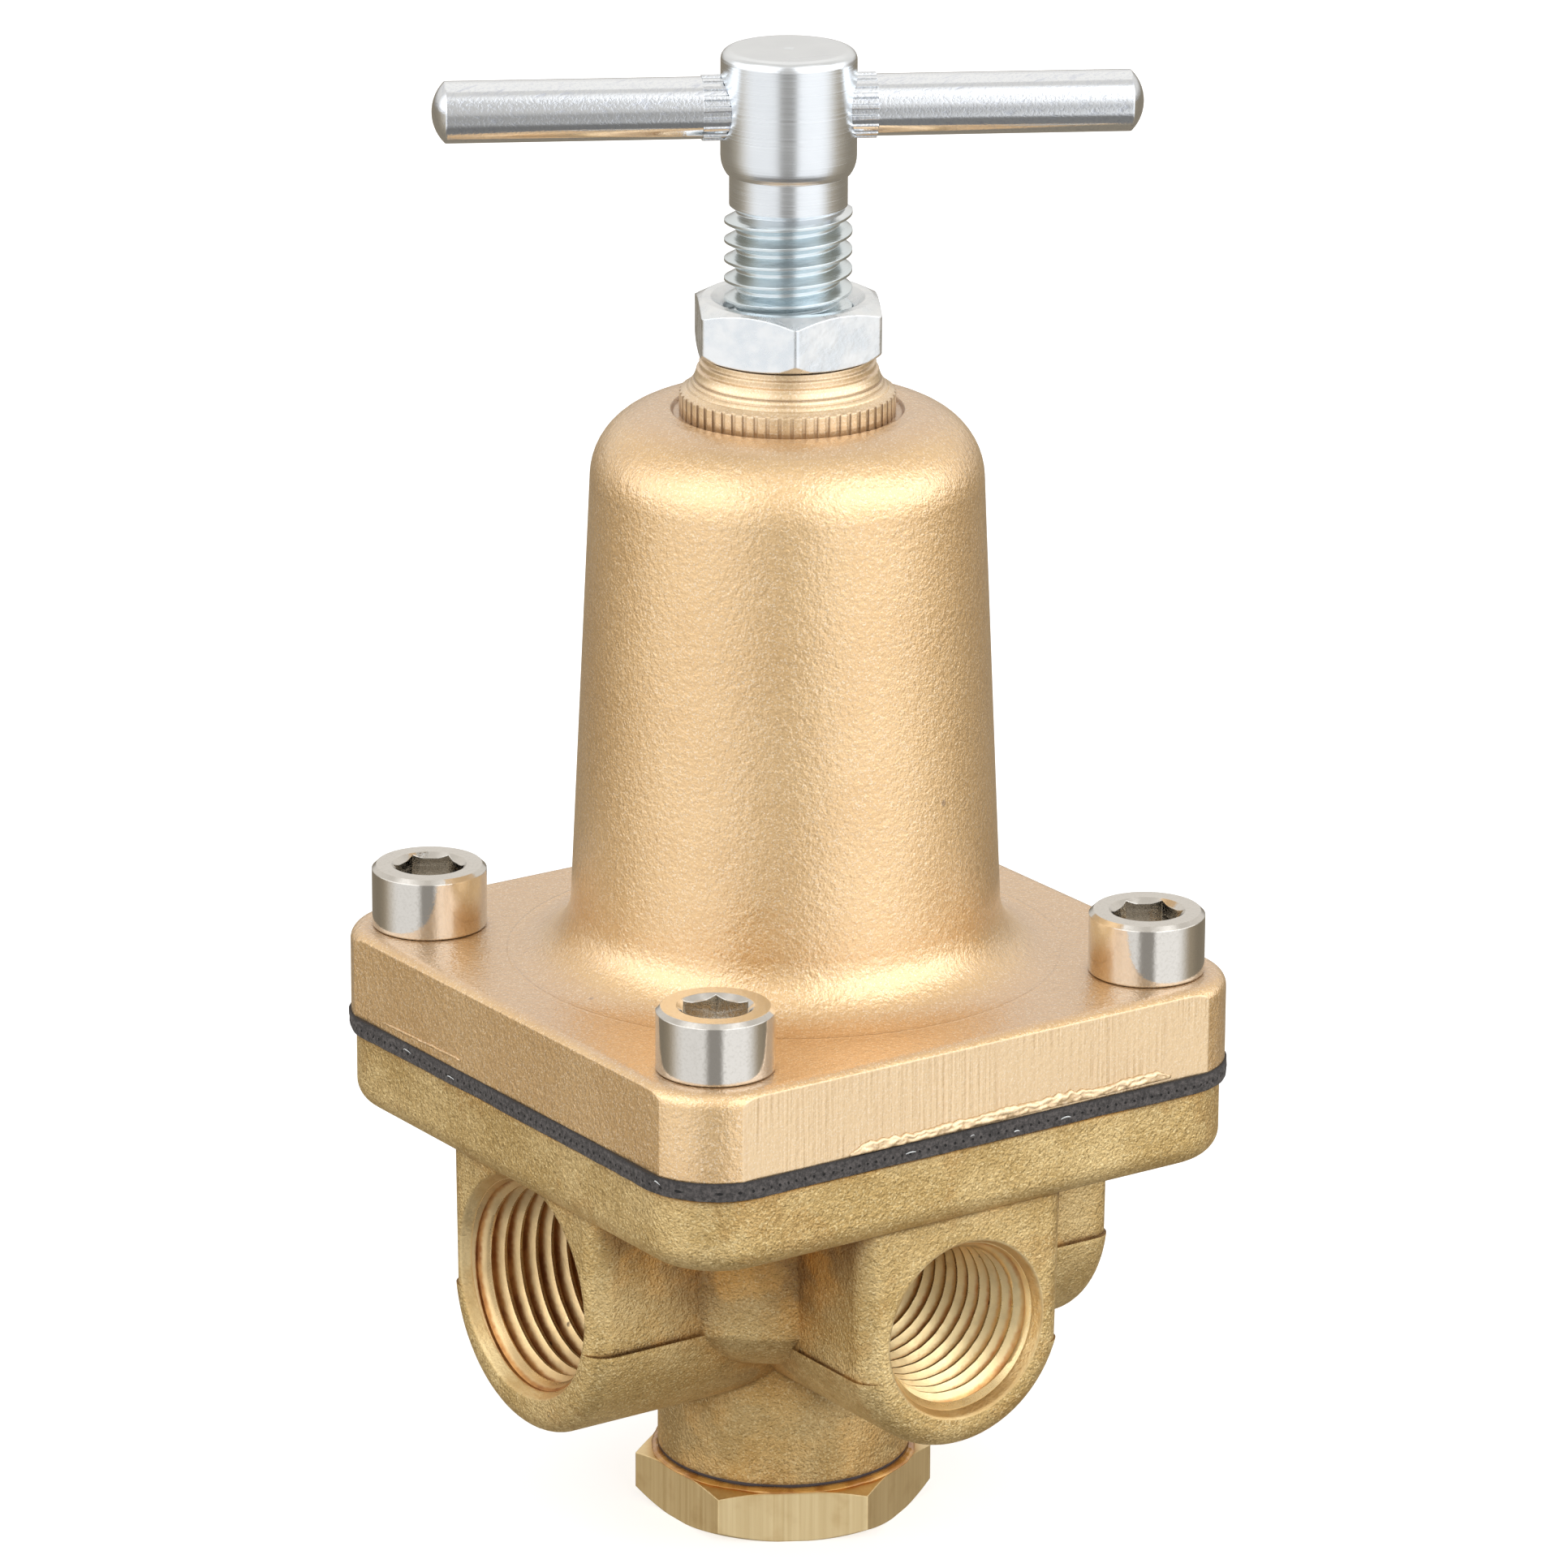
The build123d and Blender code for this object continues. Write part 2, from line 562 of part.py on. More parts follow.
with BuildPart() as bonnet:
    with BuildSketch(Plane.XY.offset(BONNET_BOTTOM)):
        RectangleRounded(BONNET_FLANGE + 2 * GROUND_OFF, BONNET_FLANGE + 2 * GROUND_OFF, BONNET_CORNER_R)
    extrude(amount=BONNET_FLANGE_TOP - BONNET_BOTTOM)
    fillet(bonnet.edges().group_by(Axis.Z)[-1], 1.15)
    with BuildSketch(Plane.XY.offset(BONNET_BOTTOM)):
        Rectangle(BONNET_FLANGE, BONNET_FLANGE)
    extrude(amount=BONNET_FLANGE_TOP - BONNET_BOTTOM, mode=Mode.INTERSECT)
    with BuildSketch(Plane.XZ):
        with BuildLine():
            wall = Line((BELL_FOOT_R, BELL_FOOT_Z), (BELL_SHOULDER_R, BELL_SHOULDER_Z))
            TangentArc((BELL_SHOULDER_R, BELL_SHOULDER_Z), (BELL_TOP_R, BONNET_TOP), tangent=wall % 1)
            TangentArc((BELL_FOOT_R, BELL_FOOT_Z), (BELL_FILLET_R, BONNET_FLANGE_TOP), tangent=-(wall % 0))
            Polyline(
                (BELL_FILLET_R, BONNET_FLANGE_TOP),
                (BELL_FILLET_R, BONNET_FLANGE_TOP - 1),
                (0, BONNET_FLANGE_TOP - 1),
                (0, BONNET_TOP),
                (BELL_TOP_R, BONNET_TOP),
            )
        make_face()
    revolve(axis=Axis.Z)
    with BuildSketch(Plane.XZ):
        with BuildLine():
            Polyline(
                (0, BONNET_BOTTOM),
                (DISH_R, BONNET_BOTTOM),
                (DISH_R, BONNET_BOTTOM + 2.4),
                (SPRING_ROOM_FOOT_R, BONNET_BOTTOM + 4.6),
                (SPRING_ROOM_HEAD_R, SPRING_ROOM_TOP - 1),
                (SPRING_ROOM_HEAD_R - 1, SPRING_ROOM_TOP),
                (BUSHING_SHANK_R, SPRING_ROOM_TOP),
                (BUSHING_SHANK_R, BUSHING_SEAT_Z),
                (BUSHING_RING_R + 0.45, BUSHING_SEAT_Z),
                (BUSHING_RING_R + 0.75, BONNET_TOP + 0.1),
                (0, BONNET_TOP + 0.1),
                close=True,
            )
        make_face()
    revolve(axis=Axis.Z, mode=Mode.SUBTRACT)
    with Locations((0, 0, BONNET_FLANGE_TOP)):
        with GridLocations(SCREW_SPACING, SCREW_SPACING, 2, 2):
            Hole(SCREW_R + 0.3, depth=BONNET_FLANGE_TOP - BONNET_BOTTOM + 1)
    with BuildSketch(Plane((0, 10, VENT_Z), z_dir=(0, 1, 0))):
        Circle(VENT_R)
    extrude(amount=10, mode=Mode.SUBTRACT)
bonnet.part.label = "bonnet"
export_step(bonnet.part, "parts/bonnet.step")

# Threaded bushing pressed into the bell, with a serrated ring and a turned cone
SERRATIONS = 56

with BuildPart() as bonnet_bushing:
    with BuildSketch(Plane.XZ):
        with BuildLine():
            Polyline(
                (THREADED_BORE_R, SPRING_ROOM_TOP),
                (BUSHING_SHANK_R - 0.5, SPRING_ROOM_TOP),
                (BUSHING_SHANK_R, SPRING_ROOM_TOP + 0.5),
                (BUSHING_SHANK_R, BUSHING_SEAT_Z),
                (BUSHING_RING_R, BUSHING_SEAT_Z),
                (BUSHING_RING_R, BUSHING_RING_TOP - 0.12),
                (BUSHING_RING_R - 0.2, BUSHING_RING_TOP),
            )
            ThreePointArc(
                (BUSHING_RING_R - 0.2, BUSHING_RING_TOP),
                (7.25, BUSHING_RING_TOP + 0.85),
                (6.95, BUSHING_RING_TOP + 1.7),
            )
            Polyline(
                (6.95, BUSHING_RING_TOP + 1.7),
                (6.72, BUSHING_RING_TOP + 1.82),
                (BUSHING_NECK_R, BUSHING_RING_TOP + 2.25),
                (6.55, BUSHING_RING_TOP + 2.4),
                (6.55, NUT_BOTTOM),
                (THREADED_BORE_R, NUT_BOTTOM),
                (THREADED_BORE_R, SPRING_ROOM_TOP),
            )
        make_face()
    revolve(axis=Axis.Z)
    with BuildSketch(Plane.XY.offset(BUSHING_SEAT_Z)):
        with PolarLocations(BUSHING_RING_R, SERRATIONS):
            RegularPolygon(radius=0.24, side_count=3)
    extrude(amount=BUSHING_RING_TOP - BUSHING_SEAT_Z, mode=Mode.SUBTRACT)
    with BuildSketch(Plane.XZ):
        for radius, rise in ((7.72, 0.3), (7.42, 0.6), (7.16, 0.95)):
            with Locations((radius, BUSHING_RING_TOP + rise)):
                Circle(0.07)
    revolve(axis=Axis.Z, mode=Mode.SUBTRACT)
bonnet_bushing.part.label = "bonnet_bushing"
export_step(bonnet_bushing.part, "parts/bonnet_bushing.step")

# Lock nut, chamfered on both faces, with worn corners
NUT_CORNER_R = NUT_AF / sqrt(3)
NUT_CHAMFER_DROP = 0.75
NUT_FOOT_DROP = 1.0

with BuildPart() as lock_nut:
    with BuildSketch(Plane.XY.offset(NUT_BOTTOM)):
        RegularPolygon(radius=NUT_CORNER_R, side_count=6)
    extrude(amount=NUT_TOP - NUT_BOTTOM)
    fillet(lock_nut.edges().filter_by(Axis.Z), 0.5)
    with BuildSketch(Plane.XZ):
        with BuildLine():
            Polyline(
                (THREADED_BORE_R, NUT_BOTTOM + 0.6),
                (THREADED_BORE_R + 0.6, NUT_BOTTOM),
                (NUT_CORNER_R - 1.6, NUT_BOTTOM),
                (NUT_CORNER_R - 0.6, NUT_BOTTOM + 0.4),
                (NUT_CORNER_R, NUT_BOTTOM + NUT_FOOT_DROP),
                (NUT_CORNER_R, NUT_TOP - NUT_CHAMFER_DROP),
                (NUT_CORNER_R - 1.4, NUT_TOP),
                (THREADED_BORE_R + 0.9, NUT_TOP),
                (THREADED_BORE_R, NUT_TOP - 0.9),
                close=True,
            )
        make_face()
    revolve(axis=Axis.Z, mode=Mode.INTERSECT)
lock_nut.part.label = "lock_nut"
export_step(lock_nut.part, "parts/lock_nut.step")

# Adjusting screw: one right-hand helical thread below a cross-drilled hub
THREAD_HALF_ROOT = 0.66
THREAD_HALF_CREST = 0.1

with BuildPart() as adjusting_screw:
    with BuildSketch(Plane.XZ):
        with BuildLine():
            Polyline(
                (0, BUTTON_TOP - 1.2),
                (2.2, BUTTON_TOP - 1.2),
                (THREAD_ROOT_R - 0.9, BUTTON_TOP - 0.4),
                (THREAD_ROOT_R - 0.9, THREAD_BOTTOM - 1.2),
                (THREAD_ROOT_R, THREAD_BOTTOM - 0.4),
                (THREAD_ROOT_R, SCREW_CORE_TOP - 0.4),
                (NECK_R, SCREW_CORE_TOP),
                (NECK_R, HUB_BOTTOM + 0.1),
                (NECK_R + 0.25, HUB_BOTTOM),
            )
            ThreePointArc(
                (NECK_R + 0.25, HUB_BOTTOM),
                (HUB_R - 0.14, HUB_BOTTOM + 0.55),
                (HUB_R, HUB_BOTTOM + 1.35),
            )
            Line((HUB_R, HUB_BOTTOM + 1.35), (HUB_R, TOTAL_HEIGHT - 0.8))
            RadiusArc((HUB_R, TOTAL_HEIGHT - 0.8), (HUB_R - 0.8, TOTAL_HEIGHT), -0.8)
            Polyline(
                (HUB_R - 0.8, TOTAL_HEIGHT),
                (0.45, TOTAL_HEIGHT),
                (0, TOTAL_HEIGHT - 0.3),
                (0, BUTTON_TOP - 1.2),
            )
        make_face()
    revolve(axis=Axis.Z)
    with BuildLine(mode=Mode.PRIVATE) as thread_path:
        Helix(THREAD_PITCH, THREAD_TOP - THREAD_BOTTOM, THREAD_ROOT_R, center=(0, 0, THREAD_BOTTOM))
    thread_start = Plane(thread_path.line @ 0, x_dir=(1, 0, 0), z_dir=(0, -1, 0))
    with BuildSketch(thread_start):
        with BuildLine():
            Polyline(
                (-0.06, -THREAD_HALF_ROOT),
                (THREAD_CREST_R - THREAD_ROOT_R, -THREAD_HALF_CREST),
                (THREAD_CREST_R - THREAD_ROOT_R, THREAD_HALF_CREST),
                (-0.06, THREAD_HALF_ROOT),
                close=True,
            )
        make_face()
    sweep(path=thread_path.line, is_frenet=True)
    bar_axis = Plane.XY.rotated((0, 0, BAR_TURN)).x_dir
    with BuildSketch(Plane(Vector(0, 0, BAR_Z), z_dir=bar_axis)):
        Circle(BAR_KNURL_R + 0.01)
    extrude(amount=HUB_R + 1, both=True, mode=Mode.SUBTRACT)
adjusting_screw.part.label = "adjusting_screw"
export_step(adjusting_screw.part, "parts/adjusting_screw.step")

# T-bar: ground pin with domed ends and a straight knurl where it is pressed through the hub
KNURL_TEETH = 18
BAR_DOME_R = (BAR_R**2 + BAR_DOME**2) / (2 * BAR_DOME)
bar_middle = Vector(0, 0, BAR_Z)
bar_end = BAR_LENGTH / 2

with BuildPart() as t_bar:
    with BuildSketch(Plane(bar_middle, x_dir=bar_axis, z_dir=bar_axis.cross(Vector(0, 0, 1)))):
        with BuildLine():
            Line((-bar_end, 0), (bar_end, 0))
            RadiusArc((bar_end, 0), (bar_end - BAR_DOME, BAR_R), -BAR_DOME_R)
            Line((bar_end - BAR_DOME, BAR_R), (BAR_DOME - bar_end, BAR_R))
            RadiusArc((BAR_DOME - bar_end, BAR_R), (-bar_end, 0), -BAR_DOME_R)
        make_face()
    revolve(axis=Axis(bar_middle, bar_axis))
    fillet(t_bar.edges().filter_by(GeomType.CIRCLE), 0.15)
    with BuildSketch(Plane(bar_middle - bar_axis * BAR_KNURL_LENGTH / 2, z_dir=bar_axis)):
        Circle(BAR_KNURL_R)
        with PolarLocations(BAR_KNURL_R + 0.08, KNURL_TEETH):
            Circle(0.3, mode=Mode.SUBTRACT)
    extrude(amount=BAR_KNURL_LENGTH)
t_bar.part.label = "t_bar"
export_step(t_bar.part, "parts/t_bar.step")

# Four socket head cap screws that clamp the bonnet, the diaphragm and the body
with BuildPart() as cap_screws:
    for place in socket_locations():
        with BuildSketch(Plane(place).offset(BONNET_FLANGE_TOP)):
            Circle(SCREW_HEAD_R)
        extrude(amount=SCREW_HEAD_TOP - BONNET_FLANGE_TOP)
    chamfer(cap_screws.edges().group_by(Axis.Z)[-1], 0.35)
    fillet(cap_screws.edges().group_by(Axis.Z)[0], 0.2)
    for place in socket_locations():
        with BuildSketch(Plane(place).offset(BONNET_FLANGE_TOP)):
            Circle(SCREW_R)
        extrude(amount=SCREW_TIP_Z - BONNET_FLANGE_TOP)
        with BuildSketch(Plane(place).offset(SCREW_HEAD_TOP)):
            RegularPolygon(radius=SCREW_SOCKET_AF / 2, side_count=6, major_radius=False)
        extrude(amount=-SCREW_SOCKET_DEPTH, mode=Mode.SUBTRACT)
        with Locations(place * Location((0, 0, SCREW_HEAD_TOP - 0.2))):
            Cone(2.5, 2.95, 0.4, mode=Mode.SUBTRACT)
cap_screws.part.label = "cap_screws"
export_step(cap_screws.part, "parts/cap_screws.step")
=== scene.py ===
import json
from math import cos, pi, radians, sin, tau
from random import Random

import bmesh
import bpy
from mathutils import Matrix, Vector, noise


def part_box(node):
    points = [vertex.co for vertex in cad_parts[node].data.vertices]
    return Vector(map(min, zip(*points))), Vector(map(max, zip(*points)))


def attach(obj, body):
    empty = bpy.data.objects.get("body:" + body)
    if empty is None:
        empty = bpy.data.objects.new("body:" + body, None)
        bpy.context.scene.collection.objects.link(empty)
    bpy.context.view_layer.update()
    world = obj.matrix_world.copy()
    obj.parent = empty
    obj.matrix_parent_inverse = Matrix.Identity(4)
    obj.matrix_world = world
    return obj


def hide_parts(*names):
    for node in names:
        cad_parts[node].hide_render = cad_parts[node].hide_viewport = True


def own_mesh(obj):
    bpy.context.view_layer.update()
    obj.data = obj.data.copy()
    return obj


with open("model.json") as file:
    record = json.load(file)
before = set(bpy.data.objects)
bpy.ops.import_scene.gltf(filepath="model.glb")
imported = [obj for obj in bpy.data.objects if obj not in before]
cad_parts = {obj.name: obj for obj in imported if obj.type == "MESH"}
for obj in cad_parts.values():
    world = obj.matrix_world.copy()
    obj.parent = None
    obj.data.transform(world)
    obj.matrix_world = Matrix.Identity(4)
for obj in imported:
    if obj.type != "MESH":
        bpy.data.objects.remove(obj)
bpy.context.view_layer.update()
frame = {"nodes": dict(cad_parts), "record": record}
MM = 0.001

# ---------------------------------------------------------------------------
# Camera: long lens, a little above the regulator, looking at its front corner
# ---------------------------------------------------------------------------
CAMERA_AZIMUTH = radians(-34.46)
CAMERA_ELEVATION = radians(18.02)
CAMERA_ROLL = radians(0.24)
CAMERA_DISTANCE = 0.66524
CAMERA_LENS = 197.66
AIM_HEIGHT = 0.05904
AIM_ASIDE = 0.00015

view_right = Vector((cos(CAMERA_AZIMUTH), sin(CAMERA_AZIMUTH), 0))
view_front = Vector((sin(CAMERA_AZIMUTH), -cos(CAMERA_AZIMUTH), 0))
view_back = view_front * cos(CAMERA_ELEVATION) + Vector((0, 0, sin(CAMERA_ELEVATION)))
view_up = view_back.cross(view_right)


def make_camera():
    data = bpy.data.cameras.new("camera")
    data.lens = CAMERA_LENS
    data.sensor_width = 36.0
    data.clip_start = 0.05
    camera = bpy.data.objects.new("camera", data)
    bpy.context.scene.collection.objects.link(camera)
    x_axis = view_right * cos(CAMERA_ROLL) + view_up * sin(CAMERA_ROLL)
    y_axis = view_up * cos(CAMERA_ROLL) - view_right * sin(CAMERA_ROLL)
    turn = Matrix((x_axis, y_axis, view_back)).transposed().to_4x4()
    place = Vector((0, 0, AIM_HEIGHT)) - view_right * AIM_ASIDE + view_back * CAMERA_DISTANCE
    camera.matrix_world = Matrix.Translation(place) @ turn
    bpy.context.scene.camera = camera


# ---------------------------------------------------------------------------
# Shader building helpers
# ---------------------------------------------------------------------------
class Shader:
    """A node tree under construction. Values may be numbers, tuples or sockets."""

    def __init__(self, name):
        self.material = bpy.data.materials.new(name)
        self.material.use_nodes = True
        self.tree = self.material.node_tree
        self.bsdf = self.tree.nodes["Principled BSDF"]
        coords = self.tree.nodes.new("ShaderNodeTexCoord")
        self.place = coords.outputs["Object"]

    def node(self, kind, values=(), **settings):
        made = self.tree.nodes.new(kind)
        for key, value in settings.items():
            setattr(made, key, value)
        for key, value in dict(values).items():
            self.plug(made.inputs[key], value)
        return made

    def plug(self, socket, value):
        if isinstance(value, bpy.types.NodeSocket):
            self.tree.links.new(value, socket)
        else:
            socket.default_value = value

    def set(self, **values):
        for key, value in values.items():
            self.plug(self.bsdf.inputs[key.replace("_", " ")], value)

    def math(self, operation, a, b=0.0):
        return self.node("ShaderNodeMath", {0: a, 1: b}, operation=operation).outputs[0]

    def stretch(self, x, y, z):
        """Object coordinates scaled along each axis, for directional grain."""
        made = self.node("ShaderNodeMapping", {"Vector": self.place, "Scale": (x, y, z)})
        return made.outputs["Vector"]

    def noise(self, size, detail=2.0, roughness=0.5, vector=None):
        values = {
            "Vector": vector or self.place,
            "Scale": 1.0 / size,
            "Detail": detail,
            "Roughness": roughness,
        }
        return self.node("ShaderNodeTexNoise", values).outputs["Fac"]

    def cells(self, size, output="Distance"):
        values = {"Vector": self.place, "Scale": 1.0 / size, "Randomness": 1.0}
        return self.node("ShaderNodeTexVoronoi", values).outputs[output]

    def ramp(self, factor, low, high, to_low=0.0, to_high=1.0):
        values = {"Value": factor, "From Min": low, "From Max": high, "To Min": to_low, "To Max": to_high}
        made = self.node("ShaderNodeMapRange", values, interpolation_type="SMOOTHSTEP")
        return made.outputs["Result"]

    def mix(self, factor, a, b):
        made = self.node("ShaderNodeMix", data_type="RGBA", blend_type="MIX")
        self.plug(made.inputs[0], factor)
        self.plug(made.inputs[6], a if isinstance(a, bpy.types.NodeSocket) else (*a, 1))
        self.plug(made.inputs[7], b if isinstance(b, bpy.types.NodeSocket) else (*b, 1))
        return made.outputs[2]

    def axis(self, vector, name):
        return self.node("ShaderNodeSeparateXYZ", {0: vector}).outputs[name]

    def normal(self):
        return self.node("ShaderNodeNewGeometry").outputs["True Normal"]

    def radius(self):
        """Distance from the vertical axis."""
        x, y = self.axis(self.place, "X"), self.axis(self.place, "Y")
        return self.math("SQRT", self.math("ADD", self.math("MULTIPLY", x, x), self.math("MULTIPLY", y, y)))

    def bump(self, height, distance, strength=1.0, below=None):
        values = {"Height": height, "Distance": distance, "Strength": strength}
        if below is not None:
            values["Normal"] = below
        return self.node("ShaderNodeBump", values).outputs["Normal"]

    def soft_edges(self, radius):
        return self.node("ShaderNodeBevel", {"Radius": radius}, samples=4).outputs["Normal"]

    def crevice(self, distance):
        """1 on open surfaces, falling towards 0 in corners."""
        made = self.node("ShaderNodeAmbientOcclusion", {"Distance": distance}, samples=8)
        return made.outputs["AO"]


# ---------------------------------------------------------------------------
# Materials
# ---------------------------------------------------------------------------
BELL_FOOT_R = 21.5 * MM
THREAD_UNDER_BAR = 5.2 * MM


def bronze_paint(name, turned=False):
    """Gold metallic paint: fine flake and orange peel over a sand casting, under a clear gloss."""
    s = Shader(name)
    warm = s.noise(9 * MM, detail=3)
    colour = s.mix(s.ramp(warm, 0.3, 0.7), (0.76, 0.48, 0.19), (0.82, 0.54, 0.235))
    if turned:
        colour = s.mix(0.55, colour, (0.88, 0.70, 0.45))
    # Faces that look up are painted darker: painted shade on the tops
    upward = s.ramp(s.axis(s.normal(), "Z"), 0.75, 0.98)
    colour = s.mix(s.math("MULTIPLY", upward, 0.6), colour, (0.60, 0.37, 0.175))
    flake = s.axis(s.cells(0.10 * MM, "Color"), "X")
    # The lightest flakes are painted glints; the darkest are darker flakes
    colour = s.mix(s.ramp(flake, 0.72, 1.0, 0.0, 0.42), colour, (1.0, 0.90, 0.72))
    colour = s.mix(s.ramp(flake, 0.30, 0.0, 0.0, 0.28), colour, (0.50, 0.28, 0.11))
    speck = s.math("MULTIPLY", s.ramp(s.cells(6 * MM), 0.055, 0.03), s.ramp(s.noise(9 * MM), 0.56, 0.6))
    colour = s.mix(s.math("MULTIPLY", speck, 0.6), colour, (0.24, 0.14, 0.08))
    # Grime and painted shade, darker where the screw heads and the bushing meet the casting
    grime_and_shade = s.ramp(s.crevice(1.5 * MM), 0.72, 0.35, 0.0, 0.65)
    colour = s.mix(grime_and_shade, colour, (0.30, 0.155, 0.06))
    s.set(Metallic=0.9)
    s.bsdf.inputs["Coat Weight"].default_value = 1.0
    s.bsdf.inputs["Coat IOR"].default_value = 2.1
    s.bsdf.inputs["Coat Roughness"].default_value = 0.24
    peel = s.noise(0.50 * MM, detail=2)
    grit = s.noise(0.20 * MM, detail=2)
    height = s.math("ADD", s.math("MULTIPLY", peel, 0.6), s.math("MULTIPLY", grit, 0.4))
    below = s.soft_edges(0.18 * MM)
    if turned:
        lines = s.noise(1.0, detail=1, vector=s.stretch(60, 60, 5500))
        below = s.bump(lines, 0.03 * MM, 0.8, below)
        normal = s.bump(height, 0.02 * MM, 0.8, below)
    else:
        # The front and back flange faces were ground before painting: close, nearly upright lines
        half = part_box("bonnet")[1][1]
        face = s.ramp(s.math("ABSOLUTE", s.axis(s.place, "Y")), half - 0.06 * MM, half - 0.02 * MM)
        patchy = s.ramp(s.noise(7 * MM), 0.40, 0.58, 0.25, 1.0)
        slant = s.node(
            "ShaderNodeMapping",
            {"Vector": s.place, "Rotation": (0, radians(-12), 0), "Scale": (2700, 1, 90)},
        )
        lines = s.noise(1.0, detail=1, vector=slant.outputs["Vector"])
        ground = s.math("MULTIPLY", face, patchy)
        colour = s.mix(s.math("MULTIPLY", face, 0.40), colour, (0.88, 0.71, 0.46))
        below = s.bump(lines, 0.06 * MM, ground, below)
        groove = s.math("MULTIPLY", ground, s.ramp(lines, 0.45, 0.30, 0, 0.22))
        colour = s.mix(groove, colour, (0.62, 0.38, 0.18))
        # Hairline where the bell's foot runs out on the flange
        off = s.math("ABSOLUTE", s.math("SUBTRACT", s.radius(), BELL_FOOT_R))
        line = s.ramp(off, 0.22 * MM, 0.04 * MM)
        line = s.math("MULTIPLY", line, s.ramp(s.axis(s.normal(), "Z"), 0.9, 0.98))
        below = s.bump(line, 0.05 * MM, 0.7, below)
        normal = s.bump(height, 0.115 * MM, s.math("SUBTRACT", 1.0, s.math("MULTIPLY", face, 0.65)), below)
    s.set(Base_Color=colour, Roughness=s.ramp(flake, 0.0, 1.0, 0.36, 0.50))
    s.set(Normal=normal, Coat_Normal=normal)
    return s.material


def near_axis(s, axis, height, inner, outer):
    """1 close to a horizontal axis at a height, 0 beyond the outer distance."""
    across = s.axis(s.place, "Y" if axis == "X" else "X")
    level = s.math("SUBTRACT", s.axis(s.place, "Z"), height)
    square = s.math("ADD", s.math("MULTIPLY", across, across), s.math("MULTIPLY", level, level))
    near = s.ramp(s.math("SQRT", square), outer, inner)
    far_out = s.ramp(s.math("ABSOLUTE", s.axis(s.place, axis)), 20 * MM, 21 * MM)
    return s.math("MULTIPLY", near, far_out)


def raw_brass(name):
    """Sand-cast brass as it leaves the shot blaster: grainy, greenish, darker in its corners from tarnishing and
    painted shade.
    """
    s = Shader(name)
    patch = s.noise(6 * MM, detail=4, roughness=0.6)
    colour = s.mix(s.ramp(patch, 0.35, 0.7), (0.56, 0.392, 0.160), (0.72, 0.54, 0.26))
    # Brown in the corners from tarnishing and painted shade, with orange where the blast left a film
    orange = s.ramp(s.noise(5 * MM, detail=3), 0.46, 0.62)
    above_stem = s.ramp(s.axis(s.place, "Z"), 11 * MM, 16 * MM, 0.45, 1.0)
    corner = s.math("MULTIPLY", s.ramp(s.crevice(12 * MM), 0.96, 0.64), above_stem)
    tarnish_and_shade = s.mix(orange, (0.20, 0.095, 0.030), (0.46, 0.215, 0.045))
    colour = s.mix(s.math("MULTIPLY", corner, s.ramp(orange, 0, 1, 0.92, 0.96)), colour, tarnish_and_shade)
    # Near-black painted shade in the tightest corners, heavier in some patches
    seam_shade = s.math("MULTIPLY", s.ramp(s.crevice(4 * MM), 0.84, 0.52), s.ramp(patch, 0.62, 0.38, 0.40, 0.90))
    colour = s.mix(seam_shade, colour, (0.11, 0.06, 0.02))
    stain = s.math("MULTIPLY", s.ramp(s.noise(8 * MM, detail=3, roughness=0.7), 0.54, 0.62), 0.36)
    colour = s.mix(stain, colour, (0.47, 0.27, 0.085))
    grain = s.axis(s.cells(0.14 * MM, "Color"), "Y")
    glint = s.ramp(grain, 0.74, 1.0, 0.0, 0.42)
    glint = s.math("MULTIPLY", glint, s.math("SUBTRACT", 1.0, s.math("MULTIPLY", corner, 0.9)))
    colour = s.mix(glint, colour, (0.98, 0.84, 0.50))
    colour = s.mix(s.ramp(grain, 0.28, 0.0, 0.0, 0.45), colour, (0.28, 0.17, 0.05))
    pit = s.math("MULTIPLY", s.ramp(s.cells(3.5 * MM), 0.07, 0.03), s.ramp(s.noise(6 * MM), 0.58, 0.62))
    colour = s.mix(s.math("MULTIPLY", pit, 0.8), colour, (0.08, 0.06, 0.04))
    # Chamfered port mouths are cut bright: here on the ports that face +X and +Y
    cut = 0.0
    for port in frame["record"]["mounts"]:
        if port["kind"] == "threaded_hole" and max(port["axis"]) > 0:
            axis = "X" if port["axis"][0] else "Y"
            mouth = port["dims"]["r_mm"] * MM + 0.55 * MM
            ring = near_axis(s, axis, port["pos_m"][2], mouth - 0.12 * MM, mouth + 0.05 * MM)
            cut = s.math("MAXIMUM", cut, ring)
    bright = s.mix(s.ramp(patch, 0.4, 0.6), (0.66, 0.46, 0.21), (0.80, 0.62, 0.33))
    colour = s.mix(s.math("MULTIPLY", cut, 0.85), colour, bright)
    s.set(Base_Color=colour, Metallic=0.88)
    s.set(Roughness=s.math("SUBTRACT", s.ramp(grain, 0.0, 1.0, 0.40, 0.56), s.math("MULTIPLY", cut, 0.12)))
    coarse = s.noise(0.60 * MM, detail=3)
    fine = s.noise(0.20 * MM, detail=2)
    height = s.math("ADD", s.math("MULTIPLY", coarse, 0.5), s.math("MULTIPLY", fine, 0.5))
    strength = s.math("SUBTRACT", 1.0, s.math("MULTIPLY", cut, 0.75))
    s.set(Normal=s.bump(height, 0.24 * MM, strength, s.soft_edges(0.5 * MM)))
    return s.material


